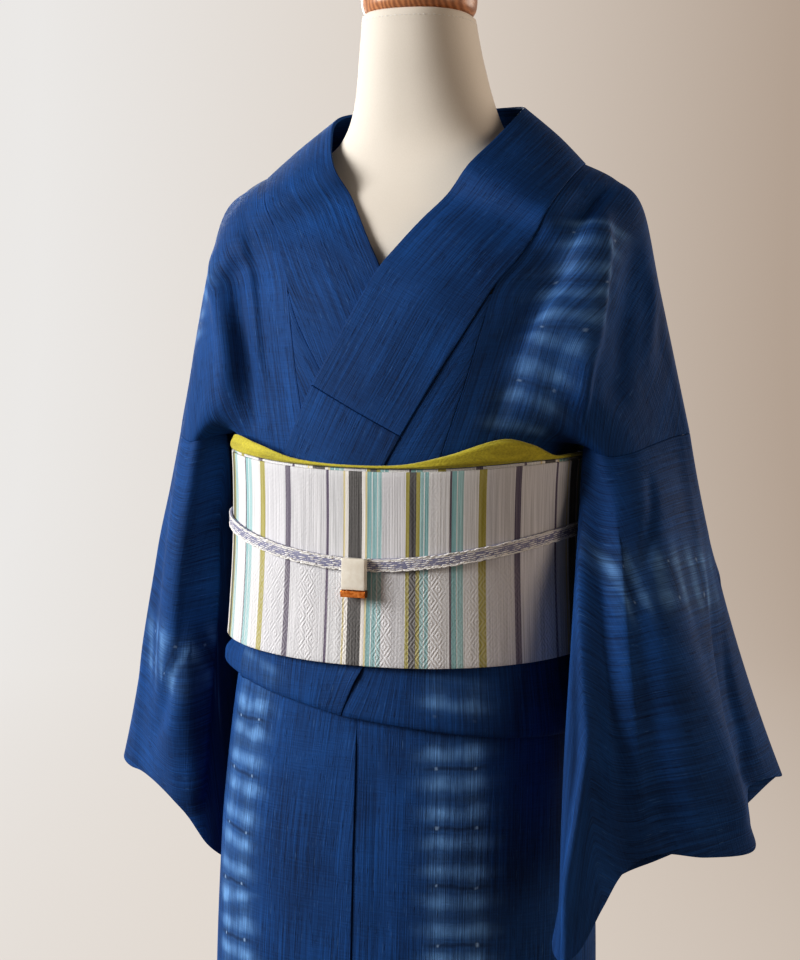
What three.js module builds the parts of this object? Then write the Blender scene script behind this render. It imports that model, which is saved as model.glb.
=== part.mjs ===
// A worn tsumugi kimono with its obi, tied in a drum bow, on a limbless dress form with a round base.
// Millimetres, +Z up, the front faces -Y and the viewer's right is +X. The base rests on z = 0.

import * as THREE from 'three';
import { mergeVertices } from 'three/addons/utils/BufferGeometryUtils.js';

// Driving dimensions

const SEAM = 0.3;               // gap that parts sewn pieces keep
const CLOTH = 1.2;              // wall of one layer of silk with its lining
const COLLAR = 2.6;             // wall of the folded collar
const OBI = 2.0;                // wall of one turn of the obi
const DRUM = 3.0;               // wall of the drum bow's folded sheet
const ROUND = 2.3;              // power of the rounded ring that every section of the body follows

// How far the inner face of each layer lies outside the body.
const LAYER = { skirtInner: 0.0, skirtOuter: 1.5, right: 3.9, left: 7.5, back: 5.7, obiInner: 11.5, obiOuter: 13.8 };

const FORM_SKIN = 0.4;          // the dress form lies this far inside the first layer
const FORM_CHEST = 0.9;         // and is this much fuller above the waist, where the bodice rests on it
const FORM_BOTTOM = 790;
const FORM_TOP = 1418;
const CAP_TOP = 1450;
const POLE_RADIUS = 14;
const BASE_RADIUS = 150;
const BASE_HEIGHT = 22;

const OBI_TOP = 1058;           // at the back; the edge rises at the sides and dips in front
const OBI_RISE = 3.5;
const OBI_DIP = 5.5;
const OBI_BOTTOM = 901;
const DRUM_WIDTH = 300;
const HAND_WIDTH = 344;
const HAND_HEIGHT = 150;
const PILLOW = { y: 148, z: 1085, depth: 34, height: 30 };

const CORD_WIDTH = 11;
const CORD_THICK = 3;
const CORD_Z = 980;             // in front; the cord rises towards the sides and falls a little behind
const CORD_RISE = 27;
const CORD_BACK_Z = 1000;
const BROOCH = { x: -0.5, z: 973.5, width: 19.5, height: 24.5, trim: 5.5, depth: 6.5 };

// Rings of the body, one row a height: half width, depth in front, depth behind, and where in depth it is widest.
const BODY = [
  { z: 45, half: 138, front: 102, back: 106, mid: 0 },
  { z: 200, half: 147, front: 107, back: 111, mid: 0 },
  { z: 400, half: 156, front: 112, back: 117, mid: 0 },
  { z: 600, half: 161, front: 113, back: 120, mid: 0 },
  { z: 740, half: 157, front: 110, back: 119, mid: 0 },
  { z: 800, half: 152, front: 107, back: 116, mid: 0 },
  { z: 850, half: 146, front: 105, back: 111, mid: 0 },
  { z: 900, half: 139, front: 102, back: 104, mid: 0 },
  { z: 940, half: 136, front: 100, back: 99, mid: 0 },
  { z: 980, half: 134, front: 99, back: 97, mid: 0 },
  { z: 1020, half: 133.5, front: 99, back: 97, mid: 0 },
  { z: 1055, half: 134.5, front: 100, back: 98, mid: 0 },
  { z: 1090, half: 138, front: 100, back: 101, mid: 1 },
  { z: 1120, half: 143, front: 98, back: 104, mid: 3 },
  { z: 1150, half: 149, front: 94, back: 107, mid: 6 },
  { z: 1180, half: 155, front: 87, back: 109, mid: 10 },
  { z: 1200, half: 159, front: 80, back: 110, mid: 13 },
  { z: 1220, half: 162, front: 70, back: 109, mid: 16 },
  { z: 1237, half: 163, front: 61, back: 107, mid: 19 },
  { z: 1250, half: 161, front: 51, back: 104, mid: 21 },
  { z: 1262, half: 154, front: 41, back: 101, mid: 23 },
  { z: 1275, half: 137, front: 31, back: 97, mid: 26 },
  { z: 1290, half: 112, front: 23, back: 92, mid: 28 },
  { z: 1305, half: 88, front: 19, back: 87, mid: 29 },
  { z: 1320, half: 71, front: 19, back: 82, mid: 29 },
  { z: 1345, half: 59, front: 24, back: 76, mid: 26 },
  { z: 1385, half: 50, front: 33, back: 62, mid: 15 },
  { z: 1418, half: 45, front: 37, back: 52, mid: 8 },
];

// The seams of the skirt round the body, in degrees from the front, with the columns between them.
const SEAMS = [
  { from: -66, to: -0.5, steps: 7 },
  { from: -0.5, to: 84, steps: 10 },
  { from: 84, to: 180, steps: 11 },
  { from: 180, to: 276, steps: 11 },
  { from: 276, to: 294, steps: 2 },
];

const SKIRT_ROWS = [45, 120, 230, 350, 470, 580, 670, 740, 800, 850, 900, 940];

// The collar, the overlap and the seam of the front panel, from the waist over the shoulder to the middle of the back.
// A point of two numbers lies on the chest at its x and z, and one of three stands free at its x, y and z.
const UPPER_EDGE = [
  { at: 'under the obi', inner: [-107, 985], outer: [-30, 948], seam: [27, 948] },
  { at: 'middle of the obi', inner: [-84, 1036], outer: [-9, 1000], seam: [43, 1000] },
  { at: 'top of the obi', inner: [-63, 1080], outer: [11, 1043], seam: [55, 1043] },
  { at: 'end of the over collar', inner: [-45, 1118], outer: [31, 1080], seam: [66, 1080] },
  { at: 'chest', inner: [-22, 1160], outer: [54, 1121], seam: [78, 1121] },
  { at: 'below the crossing', inner: [0, 1205], outer: [78, 1164], seam: [88, 1164] },
  { at: 'overlap point', inner: [15, 1228], outer: [95, 1196], seam: [95, 1196] },
  { at: 'upper chest', inner: [29, 1248], outer: [109, 1217], seam: [109, 1217] },
  { at: 'collar bone', inner: [44, 1269], outer: [119, 1237], seam: [119, 1237] },
  { at: 'below the shoulder', inner: [60, -40, 1292], outer: [127, -44, 1256], seam: [127, -44, 1256] },
  { at: 'near the shoulder', inner: [72, -10, 1315], outer: [133, -14, 1278], seam: [133, -14, 1278] },
  { at: 'shoulder', inner: [80, 32, 1341], outer: [135, 28, 1296], seam: [135, 28, 1296] },
  { at: 'behind the shoulder', inner: [72, 66, 1350], outer: [122, 75, 1300], seam: [122, 75, 1300] },
  { at: 'back of the neck', inner: [46, 92, 1354], outer: [82, 110, 1296], seam: [82, 110, 1296] },
  { at: 'middle of the back', inner: [0, 103, 1354], outer: [0, 122, 1288], seam: [0, 122, 1288] },
];
const UNDER_EDGE = [
  { at: 'under the obi', inner: [112, 985], outer: [44, 948], seam: [-25, 948] },
  { at: 'middle of the obi', inner: [94, 1036], outer: [26, 1000], seam: [-35, 1000] },
  { at: 'top of the obi', inner: [74, 1078], outer: [7, 1043], seam: [-44, 1043] },
  { at: 'end of the over collar', inner: [54, 1115], outer: [-12, 1080], seam: [-52, 1080] },
  { at: 'chest', inner: [32, 1157], outer: [-34, 1121], seam: [-61, 1121] },
  { at: 'below the crossing', inner: [4, 1208], outer: [-62, 1164], seam: [-70, 1164] },
  { at: 'overlap point', inner: [-12, 1232], outer: [-78, 1196], seam: [-78, 1196] },
  { at: 'upper chest', inner: [-24, 1249], outer: [-89, 1219], seam: [-89, 1219] },
  { at: 'collar bone', inner: [-40, 1270], outer: [-100, 1241], seam: [-100, 1241] },
  { at: 'below the shoulder', inner: [-56, -34, 1292], outer: [-113, -43, 1261], seam: [-113, -43, 1261] },
  { at: 'near the shoulder', inner: [-70, -8, 1315], outer: [-128, -12, 1281], seam: [-128, -12, 1281] },
  { at: 'shoulder', inner: [-82, 32, 1340], outer: [-139, 28, 1294], seam: [-139, 28, 1294] },
  { at: 'behind the shoulder', inner: [-72, 66, 1350], outer: [-122, 75, 1300], seam: [-122, 75, 1300] },
  { at: 'back of the neck', inner: [-46, 92, 1354], outer: [-82, 110, 1296], seam: [-82, 110, 1296] },
  { at: 'middle of the back', inner: [0, 103, 1354], outer: [0, 122, 1288], seam: [0, 122, 1288] },
];
const OVERLAP_ROW = 6;
const COLLAR_END_ROW = 3;

// The panel from its front seam to its arm edge, on the viewer's right: one row a station, front to back.
const PANEL = [
  { at: 'under the obi', chest: [70, 948], side: [106, 948], fold: [131, 948], edge: [142, -5, 948] },
  { at: 'middle of the obi', chest: [80, 1000], side: [112, 1000], fold: [132, 1000], edge: [142, -4, 1000] },
  { at: 'top of the obi', chest: [86, 1043], side: [113, 1043], fold: [130, -48, 1063], edge: [141, -7, 1067] },
  { at: 'over the obi', chest: [95, 1078], side: [118, -71, 1076], fold: [141, -53, 1079], edge: [156, -30, 1073] },
  { at: 'chest', chest: [104, 1117], side: [129, -79, 1106], fold: [156, -63, 1087], edge: [172, -46, 1068] },
  { at: 'below the crossing', chest: [113, 1156], side: [137, -76, 1140], fold: [164, -61, 1107], edge: [183, -44, 1066] },
  { at: 'overlap point', chest: [120, 1187], side: [145, -66, 1168], fold: [171, -55, 1125], edge: [196, -32, 1069] },
  { at: 'upper chest', chest: [133, 1207], side: [156, -52, 1184], fold: [179, -42, 1140], edge: [204, -17, 1073] },
  { at: 'collar bone', chest: [142, -49, 1227], side: [165, -38, 1204], fold: [186, -26, 1152], edge: [212, 0, 1077] },
  { at: 'below the shoulder', chest: [149, -34, 1246], side: [172, -24, 1222], fold: [192, -10, 1166], edge: [219, 14, 1080] },
  { at: 'near the shoulder', chest: [156, -8, 1267], side: [178, -2, 1241], fold: [196, 6, 1180], edge: [224, 22, 1081] },
  { at: 'shoulder', chest: [160, 30, 1284], side: [184, 28, 1262], fold: [201, 24, 1192], edge: [227, 30, 1082] },
  { at: 'behind the shoulder', chest: [150, 72, 1285], side: [175, 62, 1256], fold: [198, 50, 1184], edge: [223, 46, 1081] },
  { at: 'back of the neck', chest: [122, 104, 1278], side: [157, 92, 1242], fold: [188, 75, 1166], edge: [214, 63, 1078] },
  { at: 'shoulder blade', chest: [68, 122, 1270], side: [126, 113, 1226], fold: [171, 96, 1140], edge: [198, 80, 1073] },
  { at: 'back', chest: [58, 122, 1222], side: [113, 116, 1184], fold: [158, 104, 1110], edge: [188, 82, 1068] },
  { at: 'lower back', chest: [50, 118, 1152], side: [98, 112, 1126], fold: [138, 82, 1092], edge: [170, 60, 1071] },
  { at: 'over the obi', chest: [46, 1088], side: [88, 1082], fold: [124, 67, 1080], edge: [156, 32, 1073] },
  { at: 'top of the obi', chest: [46, 1043], side: [86, 1043], fold: [120, 1063], edge: [141, 7, 1067] },
  { at: 'middle of the obi', chest: [46, 1000], side: [86, 1000], fold: [120, 1000], edge: [141, 4, 1000] },
  { at: 'under the obi', chest: [46, 948], side: [86, 948], fold: [120, 948], edge: [142, 5, 948] },
];
const BACK_SEAM = [[0, 124, 1238], [0, 118, 1160], [0, 1090], [0, 1043], [0, 1000], [0, 948]];
const BACK_ROW = 14;
const SHOULDER_ROW = 11;

// The sleeves, one row a line down the cloth from the armhole to the wrist. Lines on the armhole start at the panel's
// edge and the four of the open inner edge at their own start. Bow is how far the middle of the line stands out.
const SLEEVE_ON_LEFT_ARM = [
  { row: 11, wrist: [305, 55, 803], bow: [-9, 2, 0] },
  { row: 10, wrist: [297, 36, 805], bow: [-7, -6, 0] },
  { row: 9, wrist: [285, 14, 801], bow: [-6, -12, 0] },
  { row: 8, wrist: [291, -14, 781], bow: [-4, -20, 0] },
  { row: 7, wrist: [297, -36, 766], bow: [-2, -26, 0] },
  { row: 6, wrist: [268, -72, 768], bow: [0, -28, 0] },
  { row: 5, wrist: [236, -94, 773], bow: [0, -22, 0] },
  { row: 4, wrist: [214, -108, 762], bow: [-4, -4, 0] },
  { row: 3, wrist: [203, -132, 740], bow: [-6, -14, 0] },
  { start: [158, -38, 1000], wrist: [192, -154, 714], bow: [-6, -16, 0] },
  { start: [160, -46, 930], wrist: [181, -160, 706], bow: [-4, -10, 0] },
  { start: [164, -52, 860], wrist: [172, -152, 708], bow: [0, 0, 0] },
  { start: [168, -46, 800], wrist: [168, -136, 716], bow: [0, 0, 0] },
  { start: [172, -18, 850], wrist: [178, -122, 726], bow: [0, 0, 0] },
  { start: [168, 8, 925], wrist: [192, -104, 742], bow: [0, 0, 0] },
  { start: [162, 24, 1000], wrist: [208, -84, 752], bow: [0, 4, 0] },
  { row: 17, wrist: [228, -62, 758], bow: [0, 8, 0] },
  { row: 16, wrist: [248, -36, 764], bow: [0, 14, 0] },
  { row: 15, wrist: [268, -8, 772], bow: [0, 18, 0] },
  { row: 14, wrist: [283, 22, 786], bow: [0, 16, 0] },
  { row: 13, wrist: [296, 48, 798], bow: [-6, 12, 0] },
  { row: 12, wrist: [303, 60, 803], bow: [-9, 8, 0] },
];
const SLEEVE_ON_RIGHT_ARM = [
  { row: 11, wrist: [-303, 55, 761], bow: [4, 2, 0] },
  { row: 10, wrist: [-295, 42, 759], bow: [3, -6, 0] },
  { row: 9, wrist: [-283, 32, 757], bow: [2, -14, 0] },
  { row: 8, wrist: [-267, 22, 757], bow: [0, -12, 0] },
  { row: 7, wrist: [-250, 8, 756], bow: [0, -12, 0] },
  { row: 6, wrist: [-232, -6, 753], bow: [0, -18, 0] },
  { row: 5, wrist: [-213, -16, 745], bow: [0, -18, 0] },
  { row: 4, wrist: [-199, -14, 730], bow: [0, -12, 0] },
  { row: 3, wrist: [-186, -8, 708], bow: [-4, 0, 0] },
  { start: [-158, -14, 1000], wrist: [-176, 0, 696], bow: [-4, 0, 0] },
  { start: [-160, -2, 930], wrist: [-170, 8, 691], bow: [-3, 0, 0] },
  { start: [-163, 8, 860], wrist: [-167, 14, 690], bow: [0, 0, 0] },
  { start: [-167, 16, 800], wrist: [-168, 20, 694], bow: [0, 0, 0] },
  { start: [-167, 24, 850], wrist: [-173, 26, 700], bow: [0, 0, 0] },
  { start: [-164, 28, 925], wrist: [-182, 32, 708], bow: [0, 0, 0] },
  { start: [-161, 31, 1000], wrist: [-194, 38, 716], bow: [0, 4, 0] },
  { row: 17, wrist: [-210, 42, 724], bow: [0, 8, 0] },
  { row: 16, wrist: [-230, 54, 732], bow: [0, 14, 0] },
  { row: 15, wrist: [-252, 62, 742], bow: [0, 18, 0] },
  { row: 14, wrist: [-272, 68, 751], bow: [0, 16, 0] },
  { row: 13, wrist: [-290, 68, 758], bow: [3, 12, 0] },
  { row: 12, wrist: [-300, 62, 761], bow: [4, 8, 0] },
];
const SLEEVE_STEPS = 10;

// The drum bow's sheet seen from the side, after its arc over the pillow: depth behind the middle, and height.
const DRUM_SIDE = [
  { at: 'upper face', y: 197, z: 1040 },
  { at: 'face', y: 197, z: 965 },
  { at: 'lower face', y: 190, z: 890 },
  { at: 'round of the fold', y: 176, z: 848 },
  { at: 'bottom fold', y: 164, z: 840 },
  { at: 'inside the fold', y: 154, z: 848 },
  { at: 'inner sheet', y: 147, z: 874 },
  { at: 'under the hand', y: 146, z: 938 },
  { at: 'top of the tail', y: 141, z: 953 },
  { at: 'behind the hand', y: 136, z: 940 },
  { at: 'tail', y: 134, z: 880 },
  { at: 'end of the tail', y: 136, z: 762 },
];

// The obiage round the obi's top edge: how far out its middle lies, its half thickness, its foot and its height.
const SASH = [
  { deg: -180, out: 50, half: 34, foot: 1055, tall: 60 },
  { deg: -155, out: 40, half: 27, foot: 1057, tall: 46 },
  { deg: -138, out: 27, half: 10, foot: 1060.5, tall: 26 },
  { deg: -124, out: 18, half: 3, foot: 1060.5, tall: 6 },
  { deg: -108, out: 15, half: 2.2, foot: 1060.3, tall: 3.4 },
  { deg: -76, out: 15, half: 2.2, foot: 1060.3, tall: 3.4 },
  { deg: -66, out: 15, half: 2.2, foot: 1060.3, tall: 4 },
  { deg: -54, out: 16, half: 2.8, foot: 1060.3, tall: 14 },
  { deg: -35, out: 15, half: 2.8, foot: 1060.3, tall: 11 },
  { deg: -18, out: 14.2, half: 2, foot: 1060.3, tall: 4 },
  { deg: 8, out: 14.2, half: 2, foot: 1060.3, tall: 3 },
  { deg: 22, out: 15, half: 2.8, foot: 1060.3, tall: 9 },
  { deg: 42, out: 16, half: 3.2, foot: 1060.3, tall: 20 },
  { deg: 54, out: 16.5, half: 3.2, foot: 1060.3, tall: 14 },
  { deg: 66, out: 15, half: 2.2, foot: 1060.3, tall: 3.6 },
  { deg: 76, out: 15, half: 2.2, foot: 1060.3, tall: 3.4 },
  { deg: 108, out: 15, half: 2.2, foot: 1060.3, tall: 3.4 },
  { deg: 124, out: 18, half: 3, foot: 1060.5, tall: 6 },
  { deg: 138, out: 27, half: 10, foot: 1060.5, tall: 26 },
  { deg: 155, out: 40, half: 27, foot: 1057, tall: 46 },
  { deg: 180, out: 50, half: 34, foot: 1055, tall: 60 },
];

// Colours and finishes

const finish = (color, roughness, metalness = 0) => new THREE.MeshStandardMaterial({ color, roughness, metalness });
const indigo = finish(0x1d3a6e, 0.75);
const sashCloth = finish(0xb9b436, 0.8);
const obiCloth = finish(0xcfd0d6, 0.8);
const cordSilk = finish(0xb9b7c6, 0.7);
const formCloth = finish(0xe6e1d8, 0.9);
const wood = finish(0xb9794a, 0.5);
const ivory = finish(0xe9e4d8, 0.35);
const amber = finish(0xb4622a, 0.3, 0.4);
const steel = finish(0xd8d6d0, 0.4, 0.3);

// Small tools

const vec = (x, y, z) => new THREE.Vector3(x, y, z);
const smooth = (t) => t * t * (3 - 2 * t);
const clamp01 = (t) => Math.min(1, Math.max(0, t));

/** The value of a named column at `at`, on a smooth line through a table's rows. */
function track(rows, key, column, at) {
  let i = rows.findIndex((row) => row[key] >= at);
  if (i < 0) i = rows.length - 1;
  i = Math.max(1, i);
  const [a, b] = [rows[i - 1], rows[i]];
  const before = rows[Math.max(0, i - 2)];
  const after = rows[Math.min(rows.length - 1, i + 1)];
  const span = b[key] - a[key];
  const t = clamp01((at - a[key]) / span);
  const slope = (p, q) => (q === p ? 0 : (q[column] - p[column]) / (q[key] - p[key]));
  const rise = b[column] - a[column];
  const [s0, s1] = [slope(before, b) * span, slope(a, after) * span];
  return a[column] + t * s0 + t * t * (3 * rise - 2 * s0 - s1) + t * t * t * (s0 + s1 - 2 * rise);
}

/** The ring of the body at a height, grown by `off`. */
function ringAt(z, off) {
  const half = track(BODY, 'z', 'half', z) + off;
  const mid = track(BODY, 'z', 'mid', z);
  return { half, mid, front: track(BODY, 'z', 'front', z) + mid + off, back: track(BODY, 'z', 'back', z) - mid + off };
}

/** A point on the body's ring, `deg` round from the front towards the viewer's right. */
function onRing(deg, z, off) {
  const { half, mid, front, back } = ringAt(z, off);
  const [s, c] = [Math.sin(deg * Math.PI / 180), Math.cos(deg * Math.PI / 180)];
  const x = half * Math.sign(s) * Math.abs(s) ** (2 / ROUND);
  const y = mid - Math.sign(c) * (c > 0 ? front : back) * Math.abs(c) ** (2 / ROUND);
  return vec(x, y, z);
}

/** A point of the chest (or of the back) at its x and z. */
function onBody(x, z, off, behind = false) {
  const { half, mid, front, back } = ringAt(z, off);
  const reach = (1 - Math.min(0.999, Math.abs(x / half)) ** ROUND) ** (1 / ROUND);
  return vec(x, behind ? mid + back * reach : mid - front * reach, z);
}

/** A table's point: two numbers lie on the body, three stand free. */
function place(point, off, behind = false) {
  return point.length === 3 ? vec(...point) : onBody(point[0], point[1], off, behind);
}

/** A smooth line through points, cut into `steps` even parts of its parameter. */
function through(points, steps) {
  const last = points.length - 1;
  const at = (i) => points[Math.min(last, Math.max(0, i))];
  const line = [];
  for (let k = 0; k <= steps; k++) {
    const u = (k / steps) * last;
    const i = Math.min(last - 1, Math.floor(u));
    const t = u - i;
    const weights = [
      -0.5 * t + t * t - 0.5 * t ** 3,
      1 - 2.5 * t * t + 1.5 * t ** 3,
      0.5 * t + 2 * t * t - 1.5 * t ** 3,
      -0.5 * t * t + 0.5 * t ** 3,
    ];
    const p = vec(0, 0, 0);
    weights.forEach((w, j) => p.addScaledVector(at(i - 1 + j), w));
    line.push(p);
  }
  return line;
}

/** The normals of a grid of points; `ring` when its columns close on themselves. */
function normalsOf(grid, ring = false) {
  const [rows, cols] = [grid.length, grid[0].length];
  return grid.map((row, i) => row.map((_, j) => {
    const [up, down] = [grid[Math.min(rows - 1, i + 1)][j], grid[Math.max(0, i - 1)][j]];
    const next = ring ? row[(j + 1) % cols] : row[Math.min(cols - 1, j + 1)];
    const prev = ring ? row[(j + cols - 1) % cols] : row[Math.max(0, j - 1)];
    return next.clone().sub(prev).cross(up.clone().sub(down)).normalize();
  }));
}

/** A closed mesh from triangles of shared points, turned so that its faces point out. */
function solid(points, triangles) {
  let volume = 0;
  for (const [a, b, c] of triangles) volume += points[a].dot(points[b].clone().cross(points[c]));
  const faces = volume < 0 ? triangles.map(([a, b, c]) => [a, c, b]) : triangles;
  const geometry = new THREE.BufferGeometry();
  geometry.setAttribute('position', new THREE.Float32BufferAttribute(points.flatMap((p) => p.toArray()), 3));
  geometry.setIndex(faces.flat());
  const merged = mergeVertices(geometry, 1e-4);
  merged.computeVertexNormals();
  return merged;
}

/** A wall round a grid of middle points. `ring` closes its columns. */
function wall(grid, thick, { ring = false, normals = normalsOf(grid, ring) } = {}) {
  const [rows, cols] = [grid.length, grid[0].length];
  const points = [];
  for (const side of [0.5, -0.5]) {
    grid.forEach((row, i) => row.forEach((p, j) => points.push(p.clone().addScaledVector(normals[i][j], side * thick))));
  }
  const id = (side, i, j) => side * rows * cols + i * cols + (j % cols);
  const faces = [];
  const quad = (a, b, c, d) => faces.push([a, b, c], [a, c, d]);
  const spans = ring ? cols : cols - 1;
  for (let i = 0; i < rows - 1; i++) {
    for (let j = 0; j < spans; j++) {
      quad(id(0, i, j), id(0, i, j + 1), id(0, i + 1, j + 1), id(0, i + 1, j));
      quad(id(1, i, j), id(1, i + 1, j), id(1, i + 1, j + 1), id(1, i, j + 1));
    }
  }
  for (let j = 0; j < spans; j++) {
    quad(id(0, 0, j), id(1, 0, j), id(1, 0, j + 1), id(0, 0, j + 1));
    quad(id(0, rows - 1, j), id(0, rows - 1, j + 1), id(1, rows - 1, j + 1), id(1, rows - 1, j));
  }
  for (let i = 0; !ring && i < rows - 1; i++) {
    quad(id(0, i, 0), id(0, i + 1, 0), id(1, i + 1, 0), id(1, i, 0));
    quad(id(0, i, cols - 1), id(1, i, cols - 1), id(1, i + 1, cols - 1), id(0, i + 1, cols - 1));
  }
  return solid(points, faces);
}

/** A body lofted through rings of the same count; `loop` joins its last ring to its first, or its ends are capped. */
function loft(rings, loop = false) {
  const count = rings[0].length;
  const points = rings.flat();
  const faces = [];
  const spans = loop ? rings.length : rings.length - 1;
  for (let i = 0; i < spans; i++) {
    for (let j = 0; j < count; j++) {
      const [a, b] = [i * count + j, i * count + (j + 1) % count];
      const next = ((i + 1) % rings.length) * count;
      faces.push([a, b, next + (j + 1) % count], [a, next + (j + 1) % count, next + j]);
    }
  }
  if (!loop) {
    [0, rings.length - 1].forEach((i) => {
      const middle = rings[i].reduce((sum, p) => sum.add(p), vec(0, 0, 0)).divideScalar(count);
      points.push(middle);
      for (let j = 0; j < count; j++) {
        const [a, b] = [i * count + j, i * count + (j + 1) % count];
        faces.push(i === 0 ? [points.length - 1, b, a] : [points.length - 1, a, b]);
      }
    });
  }
  return solid(points, faces);
}

const group = new THREE.Group();
const add = (name, geometry, material) => {
  const mesh = new THREE.Mesh(geometry, material);
  mesh.name = name;
  group.add(mesh);
};

/** The angles of the columns of one or more stretches of the body, a seam's gap short at both ends. */
function columns(first, last) {
  const list = [];
  for (let k = first; k <= last; k++) {
    const { from, to, steps } = SEAMS[k];
    for (let i = k > first ? 1 : 0; i <= steps; i++) list.push(from + ((to - from) * i) / steps);
  }
  return list;
}

const gapAngle = (SEAM / 2 / 140) * (180 / Math.PI);
const trimEnds = (list) => list.map((deg, i) => deg + (i === 0 ? gapAngle : 0) - (i === list.length - 1 ? gapAngle : 0));

// The dress form

function addForm() {
  const around = columns(0, SEAMS.length - 1).slice(0, -1);
  const heights = [FORM_BOTTOM, FORM_BOTTOM + 10, ...BODY.map((row) => row.z).filter((z) => z > FORM_BOTTOM + 12)];
  const rings = heights.map((z, i) => {
    const shrink = i === 0 ? 12 : 0;
    const fuller = z > SKIRT_ROWS[SKIRT_ROWS.length - 1] ? FORM_CHEST : 0;
    return around.map((deg) => onRing(deg, z, fuller - FORM_SKIN - shrink));
  });
  add('form_torso', loft(rings), formCloth);

  const cap = [[0, FORM_TOP + SEAM], [44, FORM_TOP + SEAM], [47, FORM_TOP + 5], [48, FORM_TOP + 14], [46, FORM_TOP + 23],
    [36, CAP_TOP - 3], [18, CAP_TOP], [0, CAP_TOP]];
  const capSolid = turned(cap, 28);
  capSolid.translate(0, 8, 0);
  add('form_neck_cap', capSolid, wood);
  const pole = [[0, BASE_HEIGHT + SEAM], [POLE_RADIUS, BASE_HEIGHT + SEAM], [POLE_RADIUS, FORM_BOTTOM - SEAM],
    [0, FORM_BOTTOM - SEAM]];
  add('stand_pole', turned(pole, 20), steel);
  const base = [[0, 0], [BASE_RADIUS - 3, 0], [BASE_RADIUS, 3], [BASE_RADIUS, 10], [BASE_RADIUS - 8, 15],
    [40, BASE_HEIGHT - 2], [28, BASE_HEIGHT], [0, BASE_HEIGHT]];
  add('stand_base', turned(base, 40), steel);
}

/** A body turned about the upright axis from its outline of radius and height. */
function turned(outline, sides) {
  const geometry = new THREE.LatheGeometry(outline.map(([r, z]) => new THREE.Vector2(r, z)), sides);
  geometry.rotateX(Math.PI / 2);
  geometry.deleteAttribute('normal');
  geometry.deleteAttribute('uv');
  const merged = mergeVertices(geometry, 1e-4);
  const index = [...merged.index.array];
  const at = merged.attributes.position;
  const points = Array.from({ length: at.count }, (_, i) => vec(at.getX(i), at.getY(i), at.getZ(i)));
  const faces = [];
  for (let i = 0; i < index.length; i += 3) {
    const face = index.slice(i, i + 3);
    if (new Set(face).size === 3) faces.push(face);
  }
  return solid(points, faces);
}

// The skirt

function addSkirt() {
  const skirtWall = (angles, layer) => {
    const grid = SKIRT_ROWS.map((z) => trimEnds(angles).map((deg) => onRing(deg, z, layer(deg) + CLOTH / 2)));
    return wall(grid, CLOTH);
  };
  // The wrap winds outwards from the body at the viewer's left, round the back, to the overlap in front.
  const winding = (deg) => {
    const turn = clamp01((276 - (deg < 0 ? deg + 360 : deg)) / 190);
    return LAYER.skirtInner + (LAYER.skirtOuter - LAYER.skirtInner) * (deg < 84 ? 1 : turn);
  };
  const inner = () => LAYER.skirtInner;
  const outer = () => LAYER.skirtOuter;
  add('skirt_okumi_left', skirtWall(columns(0, 0), outer), indigo);
  add('skirt_front_left', skirtWall(columns(1, 1), outer), indigo);
  add('skirt_back_left', skirtWall(columns(2, 2), winding), indigo);
  add('skirt_back_right', skirtWall(columns(3, 3), winding), indigo);
  add('skirt_front_right', skirtWall([...columns(4, 4), ...columns(0, 0).slice(1).map((deg) => deg + 360)], inner), indigo);
  add('skirt_okumi_right', skirtWall(columns(1, 1).slice(0, 7), inner), indigo);
}

/** The height of the lower edge of the folded tuck under the obi. */
function tuckEdge(deg) {
  const front = Math.cos(deg * Math.PI / 180) > 0;
  const x = onRing(deg, 870, 8).x;
  return front ? 859 - 0.123 * x + 0.0002 * x * x : 860 - 0.12 * x;
}

function addTuck() {
  const layerAt = (deg) => {
    const away = clamp01((Math.abs(deg > 180 ? deg - 360 : deg) - 60) / 120);
    const under = deg > 276 ? 1.3 * clamp01((deg - 276) / 18) : 0;
    return LAYER.left + CLOTH / 2 - 1.5 * smooth(away) - under;
  };
  const tuckWall = (angles) => {
    const grid = [];
    const path = [
      { up: 76, out: 1 }, { up: 45, out: 1.3 }, { up: 20, out: 1.5 }, { up: 6, out: 1.3 }, { up: 1.4, out: 0.8 }, { up: 0, out: 0 },
      { up: 1.4, out: -0.8 }, { up: 6, out: -1 }, { up: 30, out: -1 }, { up: 66, out: -1 },
    ];
    for (const { up, out } of path) {
      grid.push(trimEnds(angles).map((deg) => {
        const [top, foot] = [938, tuckEdge(deg)];
        const z = foot + up * ((top - foot) / 76);
        const [outer, inner] = [layerAt(deg), LAYER.skirtOuter + CLOTH + 1.3];
        return onRing(deg, z, (outer + inner) / 2 + (out * (outer - inner)) / 2);
      }));
    }
    return wall(grid, CLOTH);
  };
  add('tuck_okumi_left', tuckWall(columns(0, 0).slice(2)), indigo);
  add('tuck_panel_left', tuckWall(columns(1, 2)), indigo);
  add('tuck_panel_right', tuckWall([...columns(3, 4), ...columns(0, 0).slice(1, 3).map((deg) => deg + 360)]), indigo);
}

// The bodice

/** The four edges of one front, row by row, as points in space. */
function frontEdges(rows, layer) {
  return rows.map((row) => {
    const off = layer + COLLAR / 2;
    const [inner, outer] = [place(row.inner, off), place(row.outer, off)];
    const onChest = row.inner.length === 2 && row.outer.length === 2;
    const half = inner.clone().lerp(outer, 0.5);
    const middle = onChest ? onBody(half.x, half.z, off) : half.addScaledVector(half.clone().setZ(0).normalize(), 3);
    return { inner, middle, outer, rim: place(row.outer, layer + CLOTH / 2), seam: place(row.seam, layer + CLOTH / 2) };
  });
}

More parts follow.
